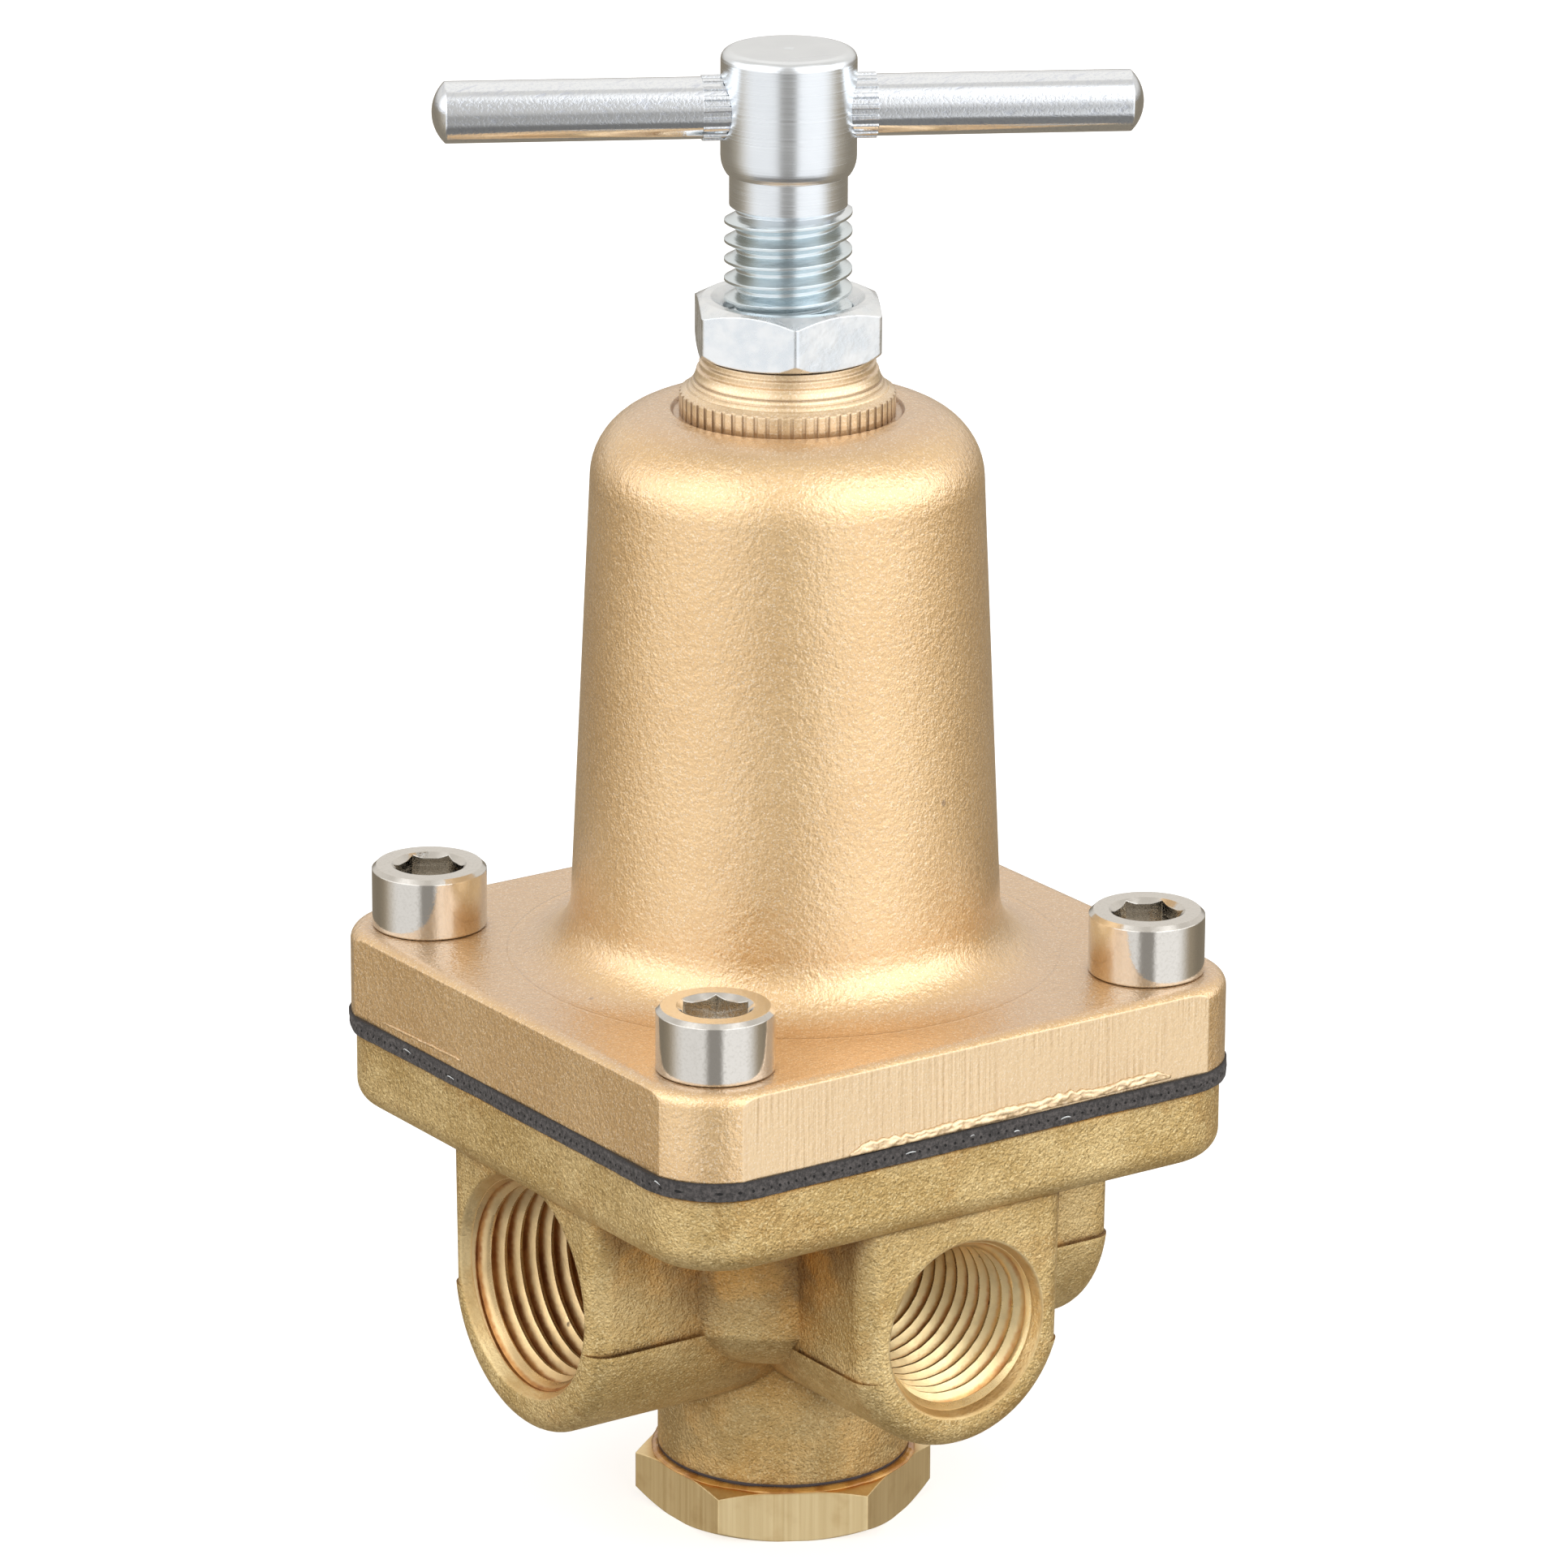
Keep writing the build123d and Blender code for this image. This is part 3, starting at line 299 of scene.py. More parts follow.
def machined_brass(name):
    """Drawn hexagon brass, with draw lines along the bar and an amber film at the seal."""
    s = Shader(name)
    lines = s.noise(1.0, detail=2, vector=s.stretch(3200, 3200, 60))
    colour = s.mix(s.ramp(lines, 0.3, 0.7), (0.91, 0.70, 0.37), (0.98, 0.78, 0.44))
    blotch = s.noise(2.5 * MM, detail=3)
    colour = s.mix(s.ramp(blotch, 0.5, 0.75, 0.0, 0.45), colour, (0.70, 0.47, 0.20))
    film = s.ramp(s.axis(s.place, "Z"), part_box("plug_gasket")[0][2] - 0.35 * MM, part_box("plug_gasket")[0][2])
    low = s.ramp(s.axis(s.place, "Z"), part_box("plug_gasket")[1][2] + MM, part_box("plug_gasket")[1][2])
    colour = s.mix(s.math("MULTIPLY", film, s.math("MULTIPLY", low, 0.8)), colour, (0.62, 0.33, 0.07))
    s.set(Base_Color=colour, Metallic=0.95)
    s.set(Roughness=s.ramp(lines, 0.2, 0.8, 0.30, 0.38))
    s.set(Normal=s.bump(lines, 0.007 * MM, 0.6, s.soft_edges(0.15 * MM)))
    return s.material


def thread_brass(name, bright, deep, shallow):
    """Cut pipe thread: bright flanks and crests, darker in the roots, where cutting oil is baked on and shade is
    painted.
    """
    s = Shader(name)
    depth = s.node("ShaderNodeAttribute", attribute_name="root").outputs["Fac"]
    stain = s.noise(2.6 * MM, detail=3, roughness=0.6)
    root = s.mix(s.ramp(stain, 0.36, 0.62), deep, shallow)
    edge = s.math("ADD", depth, s.ramp(s.noise(0.5 * MM, detail=3), 0.3, 0.7, -0.05, 0.05))
    dull = tuple(0.85 * c for c in bright)
    clean = s.mix(s.ramp(stain, 0.40, 0.66), bright, dull)
    # Roots darker: baked-on cutting oil and painted shade
    colour = s.mix(s.ramp(edge, 0.44, 0.84), clean, root)
    dirt = s.math("MULTIPLY", s.ramp(s.cells(2.6 * MM), 0.11, 0.06), s.ramp(s.noise(4 * MM), 0.54, 0.60))
    colour = s.mix(s.math("MULTIPLY", dirt, 0.85), colour, (0.07, 0.045, 0.03))
    s.set(Base_Color=colour, Metallic=0.92)
    lines = s.noise(0.12 * MM, detail=2)
    s.set(Roughness=s.math("ADD", s.ramp(lines, 0.3, 0.7, 0.26, 0.38), s.math("MULTIPLY", depth, 0.12)))
    s.set(Normal=s.bump(lines, 0.012 * MM, 0.8))
    return s.material


def turned_steel(name):
    """Bright zinc plate over turned steel, bluish where the plate is thick in the thread."""
    s = Shader(name)
    thread_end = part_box("t_bar")[0][2] - THREAD_UNDER_BAR
    in_thread = s.ramp(s.axis(s.place, "Z"), thread_end, thread_end - 0.8 * MM)
    cloud = s.noise(2.2 * MM, detail=3)
    plain = s.mix(cloud, (0.74, 0.77, 0.80), (0.83, 0.86, 0.88))
    blue = s.mix(cloud, (0.66, 0.74, 0.78), (0.78, 0.84, 0.86))
    s.set(Base_Color=s.mix(in_thread, plain, blue), Metallic=1.0)
    lines = s.noise(1.0, detail=3, roughness=0.7, vector=s.stretch(25, 25, 5200))
    s.set(Roughness=s.ramp(lines, 0.25, 0.75, 0.17, 0.30))
    s.set(Normal=s.bump(lines, 0.030 * MM, 0.6, s.soft_edges(0.08 * MM)))
    return s.material


def zinc_plate(name):
    """Bright zinc plate on a formed nut: satin, softly mottled, a few handling marks."""
    s = Shader(name)
    cloud = s.noise(1.6 * MM, detail=4)
    s.set(Base_Color=s.mix(s.ramp(cloud, 0.35, 0.65), (0.77, 0.81, 0.84), (0.87, 0.89, 0.90)), Metallic=1.0)
    mark = s.ramp(s.noise(1.0, detail=2, vector=s.stretch(900, 900, 2600)), 0.60, 0.70)
    s.set(Roughness=s.math("ADD", s.ramp(cloud, 0.3, 0.7, 0.22, 0.36), s.math("MULTIPLY", mark, 0.14)))
    s.set(Normal=s.bump(s.noise(0.6 * MM, detail=3), 0.045 * MM, 0.6, s.soft_edges(0.15 * MM)))
    return s.material


def polished_steel(name, pitted=0.35, dark=(0.66, 0.67, 0.70), light=(0.82, 0.82, 0.83), bar=False):
    """Polished plate with faint pits; the T-bar also has drawing marks along its length."""
    s = Shader(name)
    pits = s.ramp(s.noise(0.22 * MM, detail=3), 0.42, 0.75)
    if bar:
        # Scratches run along the bar, which is turned a little from the X axis
        turned = s.node(
            "ShaderNodeMapping",
            {"Vector": s.place, "Rotation": (0, 0, BAR_TURN), "Scale": (420, 2600, 2600)},
        )
        streak = s.noise(1.0, detail=3, roughness=0.6, vector=turned.outputs["Vector"])
        pits = s.math("MAXIMUM", s.math("MULTIPLY", pits, 0.6), s.ramp(streak, 0.52, 0.74))
    s.set(Base_Color=s.mix(s.math("MULTIPLY", pits, pitted), light, dark), Metallic=1.0)
    s.set(Roughness=s.math("ADD", 0.07, s.math("MULTIPLY", pits, 0.16)))
    height = s.math("MULTIPLY", pits, -1.0) if bar else s.noise(0.35 * MM, detail=3)
    s.set(Normal=s.bump(height, 0.012 * MM, 0.3 if bar else 0.5, s.soft_edges(0.1 * MM)))
    return s.material


def plain_steel(name, shade, roughness=0.35):
    """Pressed or drawn steel inside the regulator, lightly oiled."""
    s = Shader(name)
    cloud = s.noise(1.5 * MM, detail=3)
    dark = tuple(0.7 * c for c in shade)
    s.set(Base_Color=s.mix(cloud, dark, shade), Metallic=1.0)
    s.set(Roughness=s.ramp(cloud, 0.3, 0.7, roughness - 0.06, roughness + 0.08))
    s.set(Normal=s.bump(s.noise(0.2 * MM, detail=2), 0.01 * MM, 0.6, s.soft_edges(0.1 * MM)))
    return s.material


def sheet_rubber(name):
    """Cut edge of fabric-reinforced rubber: matt and crumbly, with a row of needle-fine cord ends."""
    s = Shader(name)
    crumb = s.noise(0.32 * MM, detail=4, roughness=0.7)
    colour = s.mix(s.ramp(crumb, 0.35, 0.7), (0.024, 0.021, 0.020), (0.100, 0.088, 0.083))
    low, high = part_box("diaphragm")
    # Darker along the top, next to the bonnet's flange: painted shade under the flange
    edge = s.ramp(s.axis(s.place, "Z"), high[2] - 0.22 * MM, high[2], 0.0, 0.7)
    colour = s.mix(edge, colour, (0.018, 0.016, 0.017))
    cord_level = low[2] + 0.45 * (high[2] - low[2])
    off = s.math("SUBTRACT", s.axis(s.place, "Z"), cord_level)
    along = s.math("ADD", s.axis(s.place, "X"), s.axis(s.place, "Y"))
    along = s.math("PINGPONG", along, 0.40 * MM)
    reach = s.math("SQRT", s.math("ADD", s.math("MULTIPLY", off, off), s.math("MULTIPLY", along, along)))
    cord = s.ramp(reach, 0.13 * MM, 0.06 * MM)
    colour = s.mix(cord, colour, (0.003, 0.003, 0.003))
    s.set(Base_Color=colour, Roughness=s.ramp(crumb, 0.3, 0.7, 0.60, 0.85))
    height = s.math("SUBTRACT", crumb, s.math("MULTIPLY", cord, 1.0))
    s.set(Normal=s.bump(height, 0.24 * MM, 1.0))
    return s.material


def pale_fibre(name):
    """Loose reinforcement thread, greyed by rubber dust."""
    s = Shader(name)
    dust = s.noise(0.12 * MM, detail=2)
    s.set(Base_Color=s.mix(dust, (0.34, 0.36, 0.36), (0.78, 0.80, 0.80)), Roughness=0.55)
    s.set(Normal=s.bump(dust, 0.02 * MM, 0.6))
    return s.material


def smooth_rubber(name, shade):
    """Moulded seal: near black, semi-gloss, with a faint bloom."""
    s = Shader(name)
    bloom = s.noise(1.2 * MM, detail=3)
    light = tuple(c * 1.9 for c in shade)
    s.set(Base_Color=s.mix(bloom, shade, light), Roughness=s.ramp(bloom, 0.3, 0.7, 0.38, 0.55))
    s.set(Normal=s.bump(s.noise(0.15 * MM, detail=2), 0.01 * MM, 0.5))
    return s.material


def amber_film(name):
    """Thread sealant squeezed out round the plug: glossy, uneven amber."""
    s = Shader(name)
    thick = s.noise(1.4 * MM, detail=3)
    colour = s.mix(s.ramp(thick, 0.35, 0.65), (0.62, 0.33, 0.08), (0.40, 0.17, 0.03))
    s.set(Base_Color=colour, Metallic=0.35, Roughness=s.ramp(thick, 0.3, 0.7, 0.18, 0.34))
    s.bsdf.inputs["Coat Weight"].default_value = 0.4
    s.set(Normal=s.bump(thick, 0.05 * MM, 0.5))
    return s.material


BAR_TURN = radians(-29.0)
SLOT_MATERIALS = {
    "raw_brass": raw_brass("raw_brass"),
    "bronze_paint": bronze_paint("bronze_paint"),
    "bushing_paint": bronze_paint("bushing_paint", turned=True),
    "machined_brass": machined_brass("machined_brass"),
    "zinc_steel": turned_steel("zinc_steel"),
    "bar_steel": polished_steel("bar_steel", 0.6, (0.56, 0.60, 0.70), (0.82, 0.85, 0.88), bar=True),
    "nut_zinc": zinc_plate("nut_zinc"),
    "screw_steel": polished_steel("screw_steel", 0.25, (0.50, 0.47, 0.42), (0.68, 0.65, 0.60)),
    "diaphragm_rubber": sheet_rubber("diaphragm_rubber"),
    "gasket_fibre": smooth_rubber("gasket_fibre", (0.035, 0.026, 0.026)),
    "seal_rubber": smooth_rubber("seal_rubber", (0.016, 0.016, 0.017)),
    "plain_steel": plain_steel("plain_steel", (0.62, 0.62, 0.63)),
    "spring_steel": plain_steel("spring_steel", (0.34, 0.35, 0.37), 0.30),
    "spring_stainless": plain_steel("spring_stainless", (0.72, 0.72, 0.72), 0.22),
}
# Two copies of one thread brass: the gauge ports' copy is painted lighter, as if lit, and the main ports' copy
# darker, as if in shade
main_thread_shaded_material = thread_brass(
    "main_thread_brass_shaded", (0.77, 0.56, 0.29), (0.36, 0.15, 0.05), (0.56, 0.29, 0.10)
)
gauge_thread_lit_material = thread_brass(
    "gauge_thread_brass_lit", (0.92, 0.73, 0.40), (0.60, 0.28, 0.10), (0.76, 0.48, 0.19)
)
amber_material = amber_film("amber_film")
fibre_material = pale_fibre("pale_fibre")


def dress_cad_nodes():
    slots = {part["node"]: part["material_slot"] for part in frame["record"]["subparts"]}
    for name, node in frame["nodes"].items():
        for index in range(len(node.material_slots)):
            node.material_slots[index].material = SLOT_MATERIALS[slots[name]]


# ---------------------------------------------------------------------------
# Mesh helpers
# ---------------------------------------------------------------------------
def new_piece(name, points, faces, material, body, smooth=True):
    mesh = bpy.data.meshes.new(name)
    mesh.from_pydata([tuple(p) for p in points], [], faces)
    mesh.validate()
    mesh.materials.append(material)
    mesh.polygons.foreach_set("use_smooth", [smooth] * len(mesh.polygons))
    piece = bpy.data.objects.new(name, mesh)
    bpy.context.scene.collection.objects.link(piece)
    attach(piece, body)
    return piece


def grid_faces(rows, columns, close_rows=False, close_columns=True):
    """Quads of a grid of points stored row by row."""
    faces = []
    for i in range(rows if close_rows else rows - 1):
        for j in range(columns if close_columns else columns - 1):
            a = i * columns + j
            b = i * columns + (j + 1) % columns
            c = (i + 1) % rows * columns
            faces.append((a, b, c + (j + 1) % columns, c + j))
    return faces


def smoothstep(value):
    value = min(max(value, 0.0), 1.0)
    return value * value * (3 - 2 * value)


# ---------------------------------------------------------------------------
# Female pipe threads in the four ports
# ---------------------------------------------------------------------------
INCH = 25.4 * MM
THREAD_PITCH = INCH / 18
THREAD_DEPTH = 0.74 * MM
CREST_FLAT = 0.14
THREAD_SIDES = 144
PIPE_TAPER = 1 / 32
MOUTH_SLOPE = 0.61
# One pitch of the thread form, from crest to crest: place along the pitch and height
THREAD_FORM = (
    (0.0, 1.0),
    (CREST_FLAT, 1.0),
    (0.27, 0.68),
    (0.41, 0.34),
    (0.55, 0.0),
    (0.62, 0.0),
    (0.74, 0.32),
    (0.87, 0.66),
)


def thread_height(phase):
    """Height of the thread form, 0 at the root and 1 at the crest, anywhere in a pitch."""
    phase = phase % 1.0
    corners = THREAD_FORM + ((1.0, 1.0),)
    for (start, low), (end, high) in zip(corners, corners[1:]):
        if phase <= end:
            return low + (high - low) * (phase - start) / (end - start)


def port_thread(mount, material):
    """A thread lining on a right-hand helix: V form inside, plain outside against the bored wall."""
    outward = Vector(mount["axis"])
    middle = Vector(mount["pos_m"])
    bore_r = mount["dims"]["r_mm"] * MM
    half = mount["dims"]["length_mm"] * MM / 2
    side = Vector((0, 0, 1)).cross(outward)
    up = Vector((0, 0, 1))
    points = []
    roots = []
    spots = {}

    def spoke(j):
        return side * cos(tau * j / THREAD_SIDES) + up * sin(tau * j / THREAD_SIDES)

    def vertex(j, row):
        """Rows climb one pitch per turn. Rows past an end share that end's one point."""
        turns, step = divmod(row, len(THREAD_FORM))
        along = THREAD_PITCH * (turns - 1 + THREAD_FORM[step][0] + j / THREAD_SIDES) - half
        if abs(along) > half:
            along = half if along > 0 else -half
            key = (j, along)
        else:
            key = (j, row)
        if key not in spots:
            height = thread_height((along + half) / THREAD_PITCH - j / THREAD_SIDES)
            worn = 0.05 * noise.noise(spoke(j) * 9 + outward * along * 900) * height
            radius = bore_r - 0.02 * MM - PIPE_TAPER * (half - along) - THREAD_DEPTH * (height + worn)
            chamfer_r = bore_r - 0.02 * MM - MOUTH_SLOPE * (half - along)
            spots[key] = len(points)
            points.append(middle + outward * along + spoke(j) * max(radius, chamfer_r))
            roots.append(1 - height)
        return spots[key]

    faces = []
    rows = (int(2 * half / THREAD_PITCH) + 3) * len(THREAD_FORM)
    for j in range(THREAD_SIDES):
        k = (j + 1) % THREAD_SIDES
        lag = len(THREAD_FORM) if k == 0 else 0
        for row in range(rows):
            corners = (vertex(j, row), vertex(k, row + lag), vertex(k, row + lag + 1), vertex(j, row + 1))
            distinct = tuple(dict.fromkeys(corners))
            if len(distinct) > 2:
                faces.append(distinct)
    # Plain back, joined to both ends of the thread
    backs = []
    for along in (-half, half):
        backs.append(len(points))
        points.extend(middle + outward * along + spoke(j) * (bore_r + 0.05 * MM) for j in range(THREAD_SIDES))
        roots.extend([1.0] * THREAD_SIDES)
    for j in range(THREAD_SIDES):
        k = (j + 1) % THREAD_SIDES
        inner, outer = backs
        faces.append((spots[(k, -half)], spots[(j, -half)], inner + j, inner + k))
        faces.append((inner + k, inner + j, outer + j, outer + k))
        faces.append((outer + k, outer + j, spots[(j, half)], spots[(k, half)]))
    name = mount["name"].replace("port", "thread")
    piece = new_piece(name, points, faces, material, "housing")
    attribute = piece.data.attributes.new("root", "FLOAT", "POINT")
    attribute.data.foreach_set("value", roots)
    piece.data.set_sharp_from_angle(angle=radians(35))


# ---------------------------------------------------------------------------
# Springs with closed, ground ends
# ---------------------------------------------------------------------------
def coil_spring(name, mean_r, wire_r, active, slot):
    """A round-wire compression spring as tall as its CAD node, which it replaces."""
    low, high = (corner[2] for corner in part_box(name))
    dead = 1.1
    turns = active + 2 * dead
    span = high - low - 2 * wire_r
    dead_pitch = 2.02 * wire_r
    active_pitch = (span - 2 * dead * dead_pitch + 1.2 * wire_r) / active
    ring_sides = 14
    steps = int(turns * 40)
    points = []
    for i in range(steps + 1):
        turned = turns * i / steps
        z = low + 0.4 * wire_r
        z += min(turned, dead) * dead_pitch
        z += min(max(turned - dead, 0), active) * active_pitch
        z += max(turned - dead - active, 0) * dead_pitch
        angle = tau * turned
        out = Vector((cos(angle), sin(angle), 0))
        for j in range(ring_sides):
            around = tau * j / ring_sides
            point = out * (mean_r + wire_r * cos(around)) + Vector((0, 0, z + wire_r * sin(around)))
            point.z = min(max(point.z, low), high)
            points.append(point)
    faces = grid_faces(steps + 1, ring_sides)
    faces.append(tuple(range(ring_sides)))
    faces.append(tuple(steps * ring_sides + j for j in reversed(range(ring_sides))))
    piece = new_piece(name + "_coil", points, faces, SLOT_MATERIALS[slot], "housing")
    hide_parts(name)
    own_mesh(piece)


# ---------------------------------------------------------------------------
# Diaphragm sheet with its uneven trimmed edge
# ---------------------------------------------------------------------------
SCREW_HEAD_R = 4.5 * MM
SCREW_HOLE_R = 3.3 * MM
STUD_HOLE_R = 3.05 * MM
MIDDLE_R = 16.8 * MM
MIDDLE_SIDES = 96
MIDDLE_GAP = 0.01 * MM


def rounded_square(half, corner, count):
    """Evenly spaced points and outward normals round a square with rounded corners."""
    straight = 2 * (half - corner)
    arc = corner * pi / 2
    total = 4 * (straight + arc)
    outline = []
    for i in range(count):
        along = total * i / count
        side, rest = divmod(along, straight + arc)
        if rest < straight:
            point = Vector((half, rest - straight / 2, 0))
            normal = Vector((1, 0, 0))
        else:
            angle = (rest - straight) / corner
            normal = Vector((cos(angle), sin(angle), 0))
            point = Vector((half - corner, half - corner, 0)) + normal * corner
        turn = Matrix.Rotation(side * pi / 2, 3, "Z")
        outline.append((turn @ point, turn @ normal))
    return outline


def hole_outline(centre, radius, count=32):
    angles = [tau * i / count for i in range(count)]
    return [centre + Vector((radius * cos(angle), radius * sin(angle), 0)) for angle in angles]


def diaphragm_sheet():
    """A clamped rim and a middle that travels with the stack, and is too thick to part from the rim."""
    low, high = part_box("diaphragm")
    centre = Vector((0, 0, 0))
    bonnet_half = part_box("bonnet")[1][0]
    proud = high[0] - bonnet_half
    outline = rounded_square(bonnet_half, 6.2 * MM, 720)
    levels = ((0.0, -0.10), (0.07, 0.0), (0.25, 0.05), (0.5, 0.03), (0.75, 0.05), (0.93, 0.0), (1.0, -0.10))
    mesh = bmesh.new()
    rings = []
    for level, swell in levels:
        ring = []
        for point, normal in outline:
            seed = point * 160 + Vector((0, 0, level * 0.6))
            ragged = noise.noise(seed) * 0.42 + noise.noise(seed * 5) * 0.18
            at_corner = smoothstep((point.length - bonnet_half * 1.12) / (bonnet_half * 0.14))
            reach = proud * min(0.40 + 0.45 * at_corner + ragged + swell, 0.98)
            spot = point + normal * reach
            ring.append(mesh.verts.new((spot.x, spot.y, low[2] + (high[2] - low[2]) * level)))
        rings.append(ring)
    count = len(outline)
    for lower, upper in zip(rings, rings[1:]):
        for j in range(count):
            mesh.faces.new((lower[j], lower[(j + 1) % count], upper[(j + 1) % count], upper[j]))
    # Holes for the four screws and the middle, then the two flat faces round them
    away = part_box("cap_screws")[1][0] - SCREW_HEAD_R
    holes = [hole_outline(Vector((x, y, 0)), SCREW_HOLE_R) for x in (-away, away) for y in (-away, away)]
    holes.append(hole_outline(centre, MIDDLE_R, MIDDLE_SIDES))
    edges = {0: [], 1: []}
    for outer, side in ((rings[0], 0), (rings[-1], 1)):
        edges[side] += [mesh.edges.get((outer[j], outer[(j + 1) % count])) for j in range(count)]
    for hole in holes:
        lower = [mesh.verts.new((p.x, p.y, low[2])) for p in hole]
        upper = [mesh.verts.new((p.x, p.y, high[2])) for p in hole]
        for j in range(len(hole)):
            k = (j + 1) % len(hole)
            mesh.faces.new((lower[k], lower[j], upper[j], upper[k]))
            edges[0].append(mesh.edges.get((lower[j], lower[k])))
            edges[1].append(mesh.edges.get((upper[j], upper[k])))
    for side in (0, 1):
        bmesh.ops.triangle_fill(mesh, use_beauty=True, edges=edges[side])
    bmesh.ops.recalc_face_normals(mesh, faces=mesh.faces)
    data = bpy.data.meshes.new("diaphragm_sheet")
    mesh.to_mesh(data)
    mesh.free()
    data.materials.append(SLOT_MATERIALS["diaphragm_rubber"])
    sheet = bpy.data.objects.new("diaphragm_sheet", data)
    bpy.context.scene.collection.objects.link(sheet)
    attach(sheet, "housing")
    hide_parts("diaphragm")
    rim = MIDDLE_R - MIDDLE_GAP
    section = ((rim, low[2]), (rim, high[2]), (STUD_HOLE_R, high[2]), (STUD_HOLE_R, low[2]))
    points = []
    for radius, z in section:
        points += [p + Vector((0, 0, z)) for p in hole_outline(centre, radius, MIDDLE_SIDES)]
    faces = grid_faces(len(section), MIDDLE_SIDES, close_rows=True)
    rubber = SLOT_MATERIALS["diaphragm_rubber"]
    middle = new_piece(
        "diaphragm_middle", points, faces, rubber, "diaphragm_stack", smooth=False
    )
    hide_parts("diaphragm")


# ---------------------------------------------------------------------------
# Small surface details
# ---------------------------------------------------------------------------
def casting_flash(name, start, end, out, height, proud, seed):
    """A rough band of flash along a flange face: lumpy, pitted, fading out at both ends."""
    length = (end - start).length
    rows = int(length / (0.12 * MM))
    columns = 12
    points = []
    for i in range(rows):
        t = i / (rows - 1)
        fade = smoothstep(t / 0.05) * smoothstep((1 - t) / 0.05)
        wander = noise.noise(Vector((t * 7, seed, 0)))
        ripple = noise.noise(Vector((t * 55, seed, 2)))
        top = height * (0.62 + 0.30 * wander + 0.18 * ripple) * (0.3 + 0.7 * fade)
        for j in range(columns):
            s = j / (columns - 1)
            grain = Vector((t * length / (0.85 * MM), s * height / (0.50 * MM), seed))
            lump = 0.60 + 0.60 * noise.noise(grain) + 0.30 * noise.noise(grain * 2.7)
            rise = proud * fade * smoothstep(s / 0.12) * smoothstep((1 - s) / 0.22) * max(lump, 0.05)
            points.append(start + (end - start) * t + Vector((0, 0, s * top)) + out * (rise - 0.03 * MM))
    faces = grid_faces(rows, columns, close_columns=False)
    piece = new_piece(name, points, faces, SLOT_MATERIALS["bronze_paint"], "housing")
    solid = piece.modifiers.new("back", "SOLIDIFY")
    solid.thickness = 0.15 * MM
    solid.offset = 0


def loose_fibres(seed):
    """Short curls of thread pulled out of the diaphragm's cut edge."""
    low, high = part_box("diaphragm")
    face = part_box("bonnet")[1][0] + 0.15 * MM
    draw = Random(seed)
    points = []
    faces = []
    sides, steps = 6, 10
    for number in range(18):
        turn = Matrix.Rotation(number % 4 * pi / 2, 3, "Z")
        across = draw.uniform(-0.85, 0.85) * face
        level = draw.uniform(low[2] + 0.35 * MM, high[2] - 0.45 * MM)
        place = Vector((face, across, level))
        span = draw.uniform(0.25, 0.55) * MM
        lift = draw.uniform(0.06, 0.16) * MM
        wire = draw.uniform(0.03, 0.055) * MM
        first = len(points)
        for i in range(steps):
            t = 2 * i / (steps - 1) - 1
            centre = place + Vector((lift * (1 - t * t), span * t, lift * (1 - t * t) * 1.4))
            for j in range(sides):
                around = tau * j / sides
                offset = Vector((wire * cos(around), 0, wire * sin(around)))
                points.append(turn @ (centre + offset * (1 - 0.5 * t * t)))
        faces += [tuple(first + v for v in quad) for quad in grid_faces(steps, sides)]
        faces.append(tuple(first + j for j in range(sides)))
        faces.append(tuple(first + (steps - 1) * sides + j for j in reversed(range(sides))))
    new_piece("diaphragm_fibres", points, faces, fibre_material, "housing")


def sealant_bead():
    """Sealant squeezed out between the plug head and the body."""
    low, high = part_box("plug_gasket")
    inner = high[0]
    rows = 240
    profile = ((-0.35, 0.02), (0.05, 0.26), (0.32, 0.20), (0.62, 0.03), (0.62, -0.03), (-0.35, -0.03))
    points = []
    for i in range(rows):
        angle = tau * i / rows
        spoke = Vector((cos(angle), sin(angle), 0))
        swell = 1 + 0.35 * noise.noise(spoke * 3) + 0.12 * noise.noise(spoke * 14)
        for reach, rise in profile:
            grown = rise * swell if rise > 0 else rise
            radius = inner + (reach * swell if reach > 0 else reach) * MM
            points.append(spoke * radius + Vector((0, 0, low[2] + grown * MM)))
    faces = grid_faces(rows, len(profile), close_rows=True)
    new_piece("sealant_bead", points, faces, amber_material, "housing")


# ---------------------------------------------------------------------------
# Stage: pale floor, white surroundings with soft light from both sides
# ---------------------------------------------------------------------------
def make_stage():
    mesh = bpy.data.meshes.new("floor")
    size = 4.0
    corners = [(-size, -size, 0), (size, -size, 0), (size, size, 0), (-size, size, 0)]
    mesh.from_pydata(corners, [], [(0, 1, 2, 3)])
    floor = bpy.data.objects.new("floor", mesh)
    bpy.context.scene.collection.objects.link(floor)
    paper = bpy.data.materials.new("floor_paper")
    paper.use_nodes = True
    shader = paper.node_tree.nodes["Principled BSDF"]
    shader.inputs["Base Color"].default_value = (0.55, 0.55, 0.55, 1)
    shader.inputs["Roughness"].default_value = 1.0
    shader.inputs["Emission Color"].default_value = (1, 1, 1, 1)
    shader.inputs["Emission Strength"].default_value = 0.62
    mesh.materials.append(paper)
    floor.visible_glossy = False


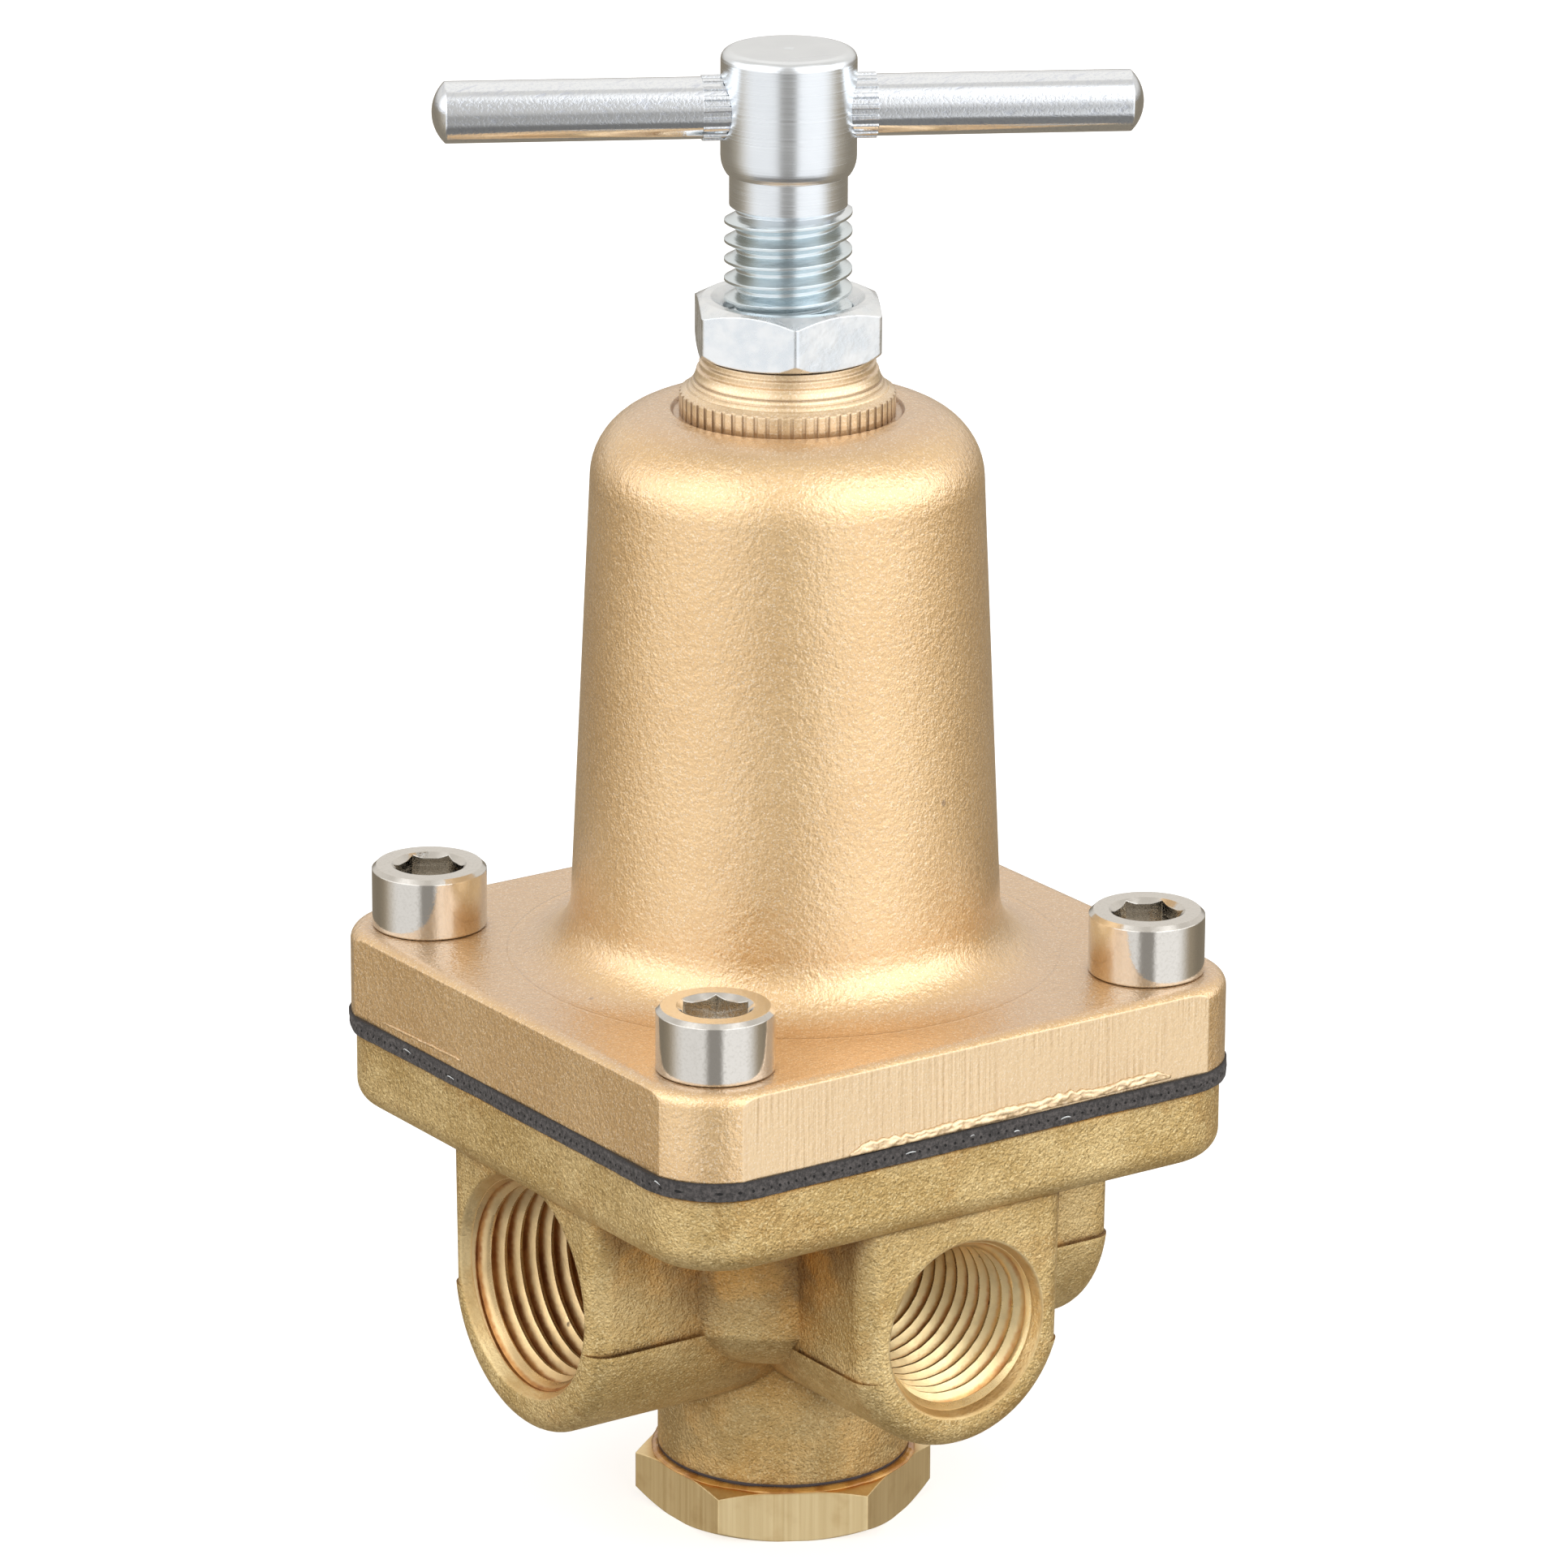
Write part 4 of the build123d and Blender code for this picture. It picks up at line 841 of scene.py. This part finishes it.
def make_light():
    """A studio as the world: two tall soft boxes, white, in dimmer and slightly warm surroundings."""
    world = bpy.data.worlds.new("studio")
    bpy.context.scene.world = world
    world.use_nodes = True
    tree = world.node_tree
    nodes, links = tree.nodes, tree.links

    def math(operation, a, b=0.0):
        made = nodes.new("ShaderNodeMath")
        made.operation = operation
        for socket, value in zip(made.inputs, (a, b)):
            if isinstance(value, bpy.types.NodeSocket):
                links.new(value, socket)
            else:
                socket.default_value = value
        return made.outputs[0]

    def product(*factors):
        total = factors[0]
        for factor in factors[1:]:
            total = math("MULTIPLY", total, factor)
        return total

    def blend(factor, a, b):
        """a where the factor is 0, b where it is 1."""
        return math("ADD", a, math("MULTIPLY", factor, math("SUBTRACT", b, a)))

    def step(value, low, high, to_low=0.0, to_high=1.0):
        """Smooth change between two angles given in degrees."""
        made = nodes.new("ShaderNodeMapRange")
        made.interpolation_type = "SMOOTHSTEP"
        links.new(value, made.inputs["Value"])
        settings = {"From Min": radians(low), "From Max": radians(high), "To Min": to_low, "To Max": to_high}
        for key, number in settings.items():
            made.inputs[key].default_value = number
        return made.outputs["Result"]

    def along(direction):
        made = nodes.new("ShaderNodeVectorMath")
        made.operation = "DOT_PRODUCT"
        links.new(coords.outputs["Generated"], made.inputs[0])
        made.inputs[1].default_value = tuple(direction)
        return made.outputs["Value"]

    def background(colour, strength):
        made = nodes.new("ShaderNodeBackground")
        made.inputs["Color"].default_value = (*colour, 1)
        if isinstance(strength, bpy.types.NodeSocket):
            links.new(strength, made.inputs["Strength"])
        else:
            made.inputs["Strength"].default_value = strength
        return made.outputs[0]

    def total(*shaders):
        summed = shaders[0]
        for shader in shaders[1:]:
            adder = nodes.new("ShaderNodeAddShader")
            links.new(summed, adder.inputs[0])
            links.new(shader, adder.inputs[1])
            summed = adder.outputs[0]
        return summed

    coords = nodes.new("ShaderNodeTexCoord")
    azimuth = math("ARCTAN2", along(view_right), along(view_front))
    elevation = math("ARCSINE", along(Vector((0, 0, 1))))
    spread = math("ABSOLUTE", azimuth)
    # Surroundings: pale above, dimmer in front between the boxes, darkest below and behind
    below = step(spread, 80, 125, 0.46, 0.28)
    above = math("SUBTRACT", 0.80, product(0.20, step(spread, 34, 14), step(elevation, 64, 50)))
    rest = blend(step(elevation, -6, 10), below, above)
    under = product(step(elevation, -32, -52), step(spread, 110, 70))
    rest = product(rest, math("SUBTRACT", 1.0, product(under, 0.5)))
    # Paler behind the regulator, where its upward faces look
    behind = product(step(spread, 110, 150), step(elevation, 6, 22))
    rest = product(rest, blend(behind, 1.0, step(elevation, 22, 40, 1.14, 1.32)))
    # The boxes reach further round the sides above the horizon than below it
    reach = product(step(elevation, -8, 6), step(elevation, 42, 24))
    left_end = blend(reach, step(azimuth, -105, -62), step(azimuth, -122, -92))
    right_end = blend(reach, step(azimuth, 96, 58), step(azimuth, 122, 92))
    left = product(0.55, left_end, step(azimuth, -10, -24))
    right = product(0.72, right_end, step(azimuth, 8, 20))
    high = blend(step(spread, 50, 75), step(elevation, 2, 24), step(elevation, -8, 12))
    boxes = product(math("ADD", left, right), blend(high, 1.0, 2.2), step(elevation, 76, 46))
    boxes = product(boxes, step(elevation, -50, -34))
    # A dark gap between them, seen only low down
    gap = product(step(spread, 18, 8), step(elevation, 4, -12))
    lit = math("SUBTRACT", 1.0, product(gap, 0.18))
    rest = product(rest, lit)
    # Warm bounce from the bench at the sides and behind
    bounce = product(step(spread, 60, 95), step(elevation, 4, -8))
    glow = total(
        background((1.0, 0.965, 0.92), product(rest, math("SUBTRACT", 1.0, bounce))),
        background((1.0, 0.86, 0.66), product(rest, bounce)),
        background((0.97, 1.0, 1.05), product(boxes, lit)),
    )
    pick = nodes.new("ShaderNodeMixShader")
    links.new(nodes.new("ShaderNodeLightPath").outputs["Is Camera Ray"], pick.inputs["Fac"])
    links.new(glow, pick.inputs[1])
    links.new(background((1, 1, 1), 1.0), pick.inputs[2])
    links.new(pick.outputs[0], nodes["World Output"].inputs["Surface"])
    bpy.context.scene.view_settings.view_transform = "Standard"


# ---------------------------------------------------------------------------
# Build
# ---------------------------------------------------------------------------
make_camera()
dress_cad_nodes()
for port in frame["record"]["mounts"]:
    if port["kind"] == "threaded_hole":
        port_thread(port, main_thread_shaded_material if port["axis"][0] else gauge_thread_lit_material)
diaphragm_sheet()
coil_spring(
    "range_spring", mean_r=10.7 * MM, wire_r=1.5 * MM, active=5.6,
    slot="spring_steel",
)
coil_spring(
    "valve_spring", mean_r=3.6 * MM, wire_r=0.35 * MM, active=2.6,
    slot="spring_stainless",
)
bonnet_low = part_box("bonnet")[0]
front = bonnet_low[1]
casting_flash(
    "flash_front",
    Vector((-12 * MM, front, bonnet_low[2] + 0.05 * MM)),
    Vector((18 * MM, front, bonnet_low[2] + 0.30 * MM)),
    out=Vector((0, -1, 0)), height=1.25 * MM, proud=0.26 * MM, seed=3.0,
)
casting_flash(
    "flash_left",
    Vector((bonnet_low[0], 17 * MM, bonnet_low[2] + 0.6 * MM)),
    Vector((bonnet_low[0], 6 * MM, bonnet_low[2] + 0.85 * MM)),
    out=Vector((-1, 0, 0)), height=0.22 * MM, proud=0.07 * MM, seed=8.0,
)
loose_fibres(seed=5)
sealant_bead()
make_stage()
make_light()
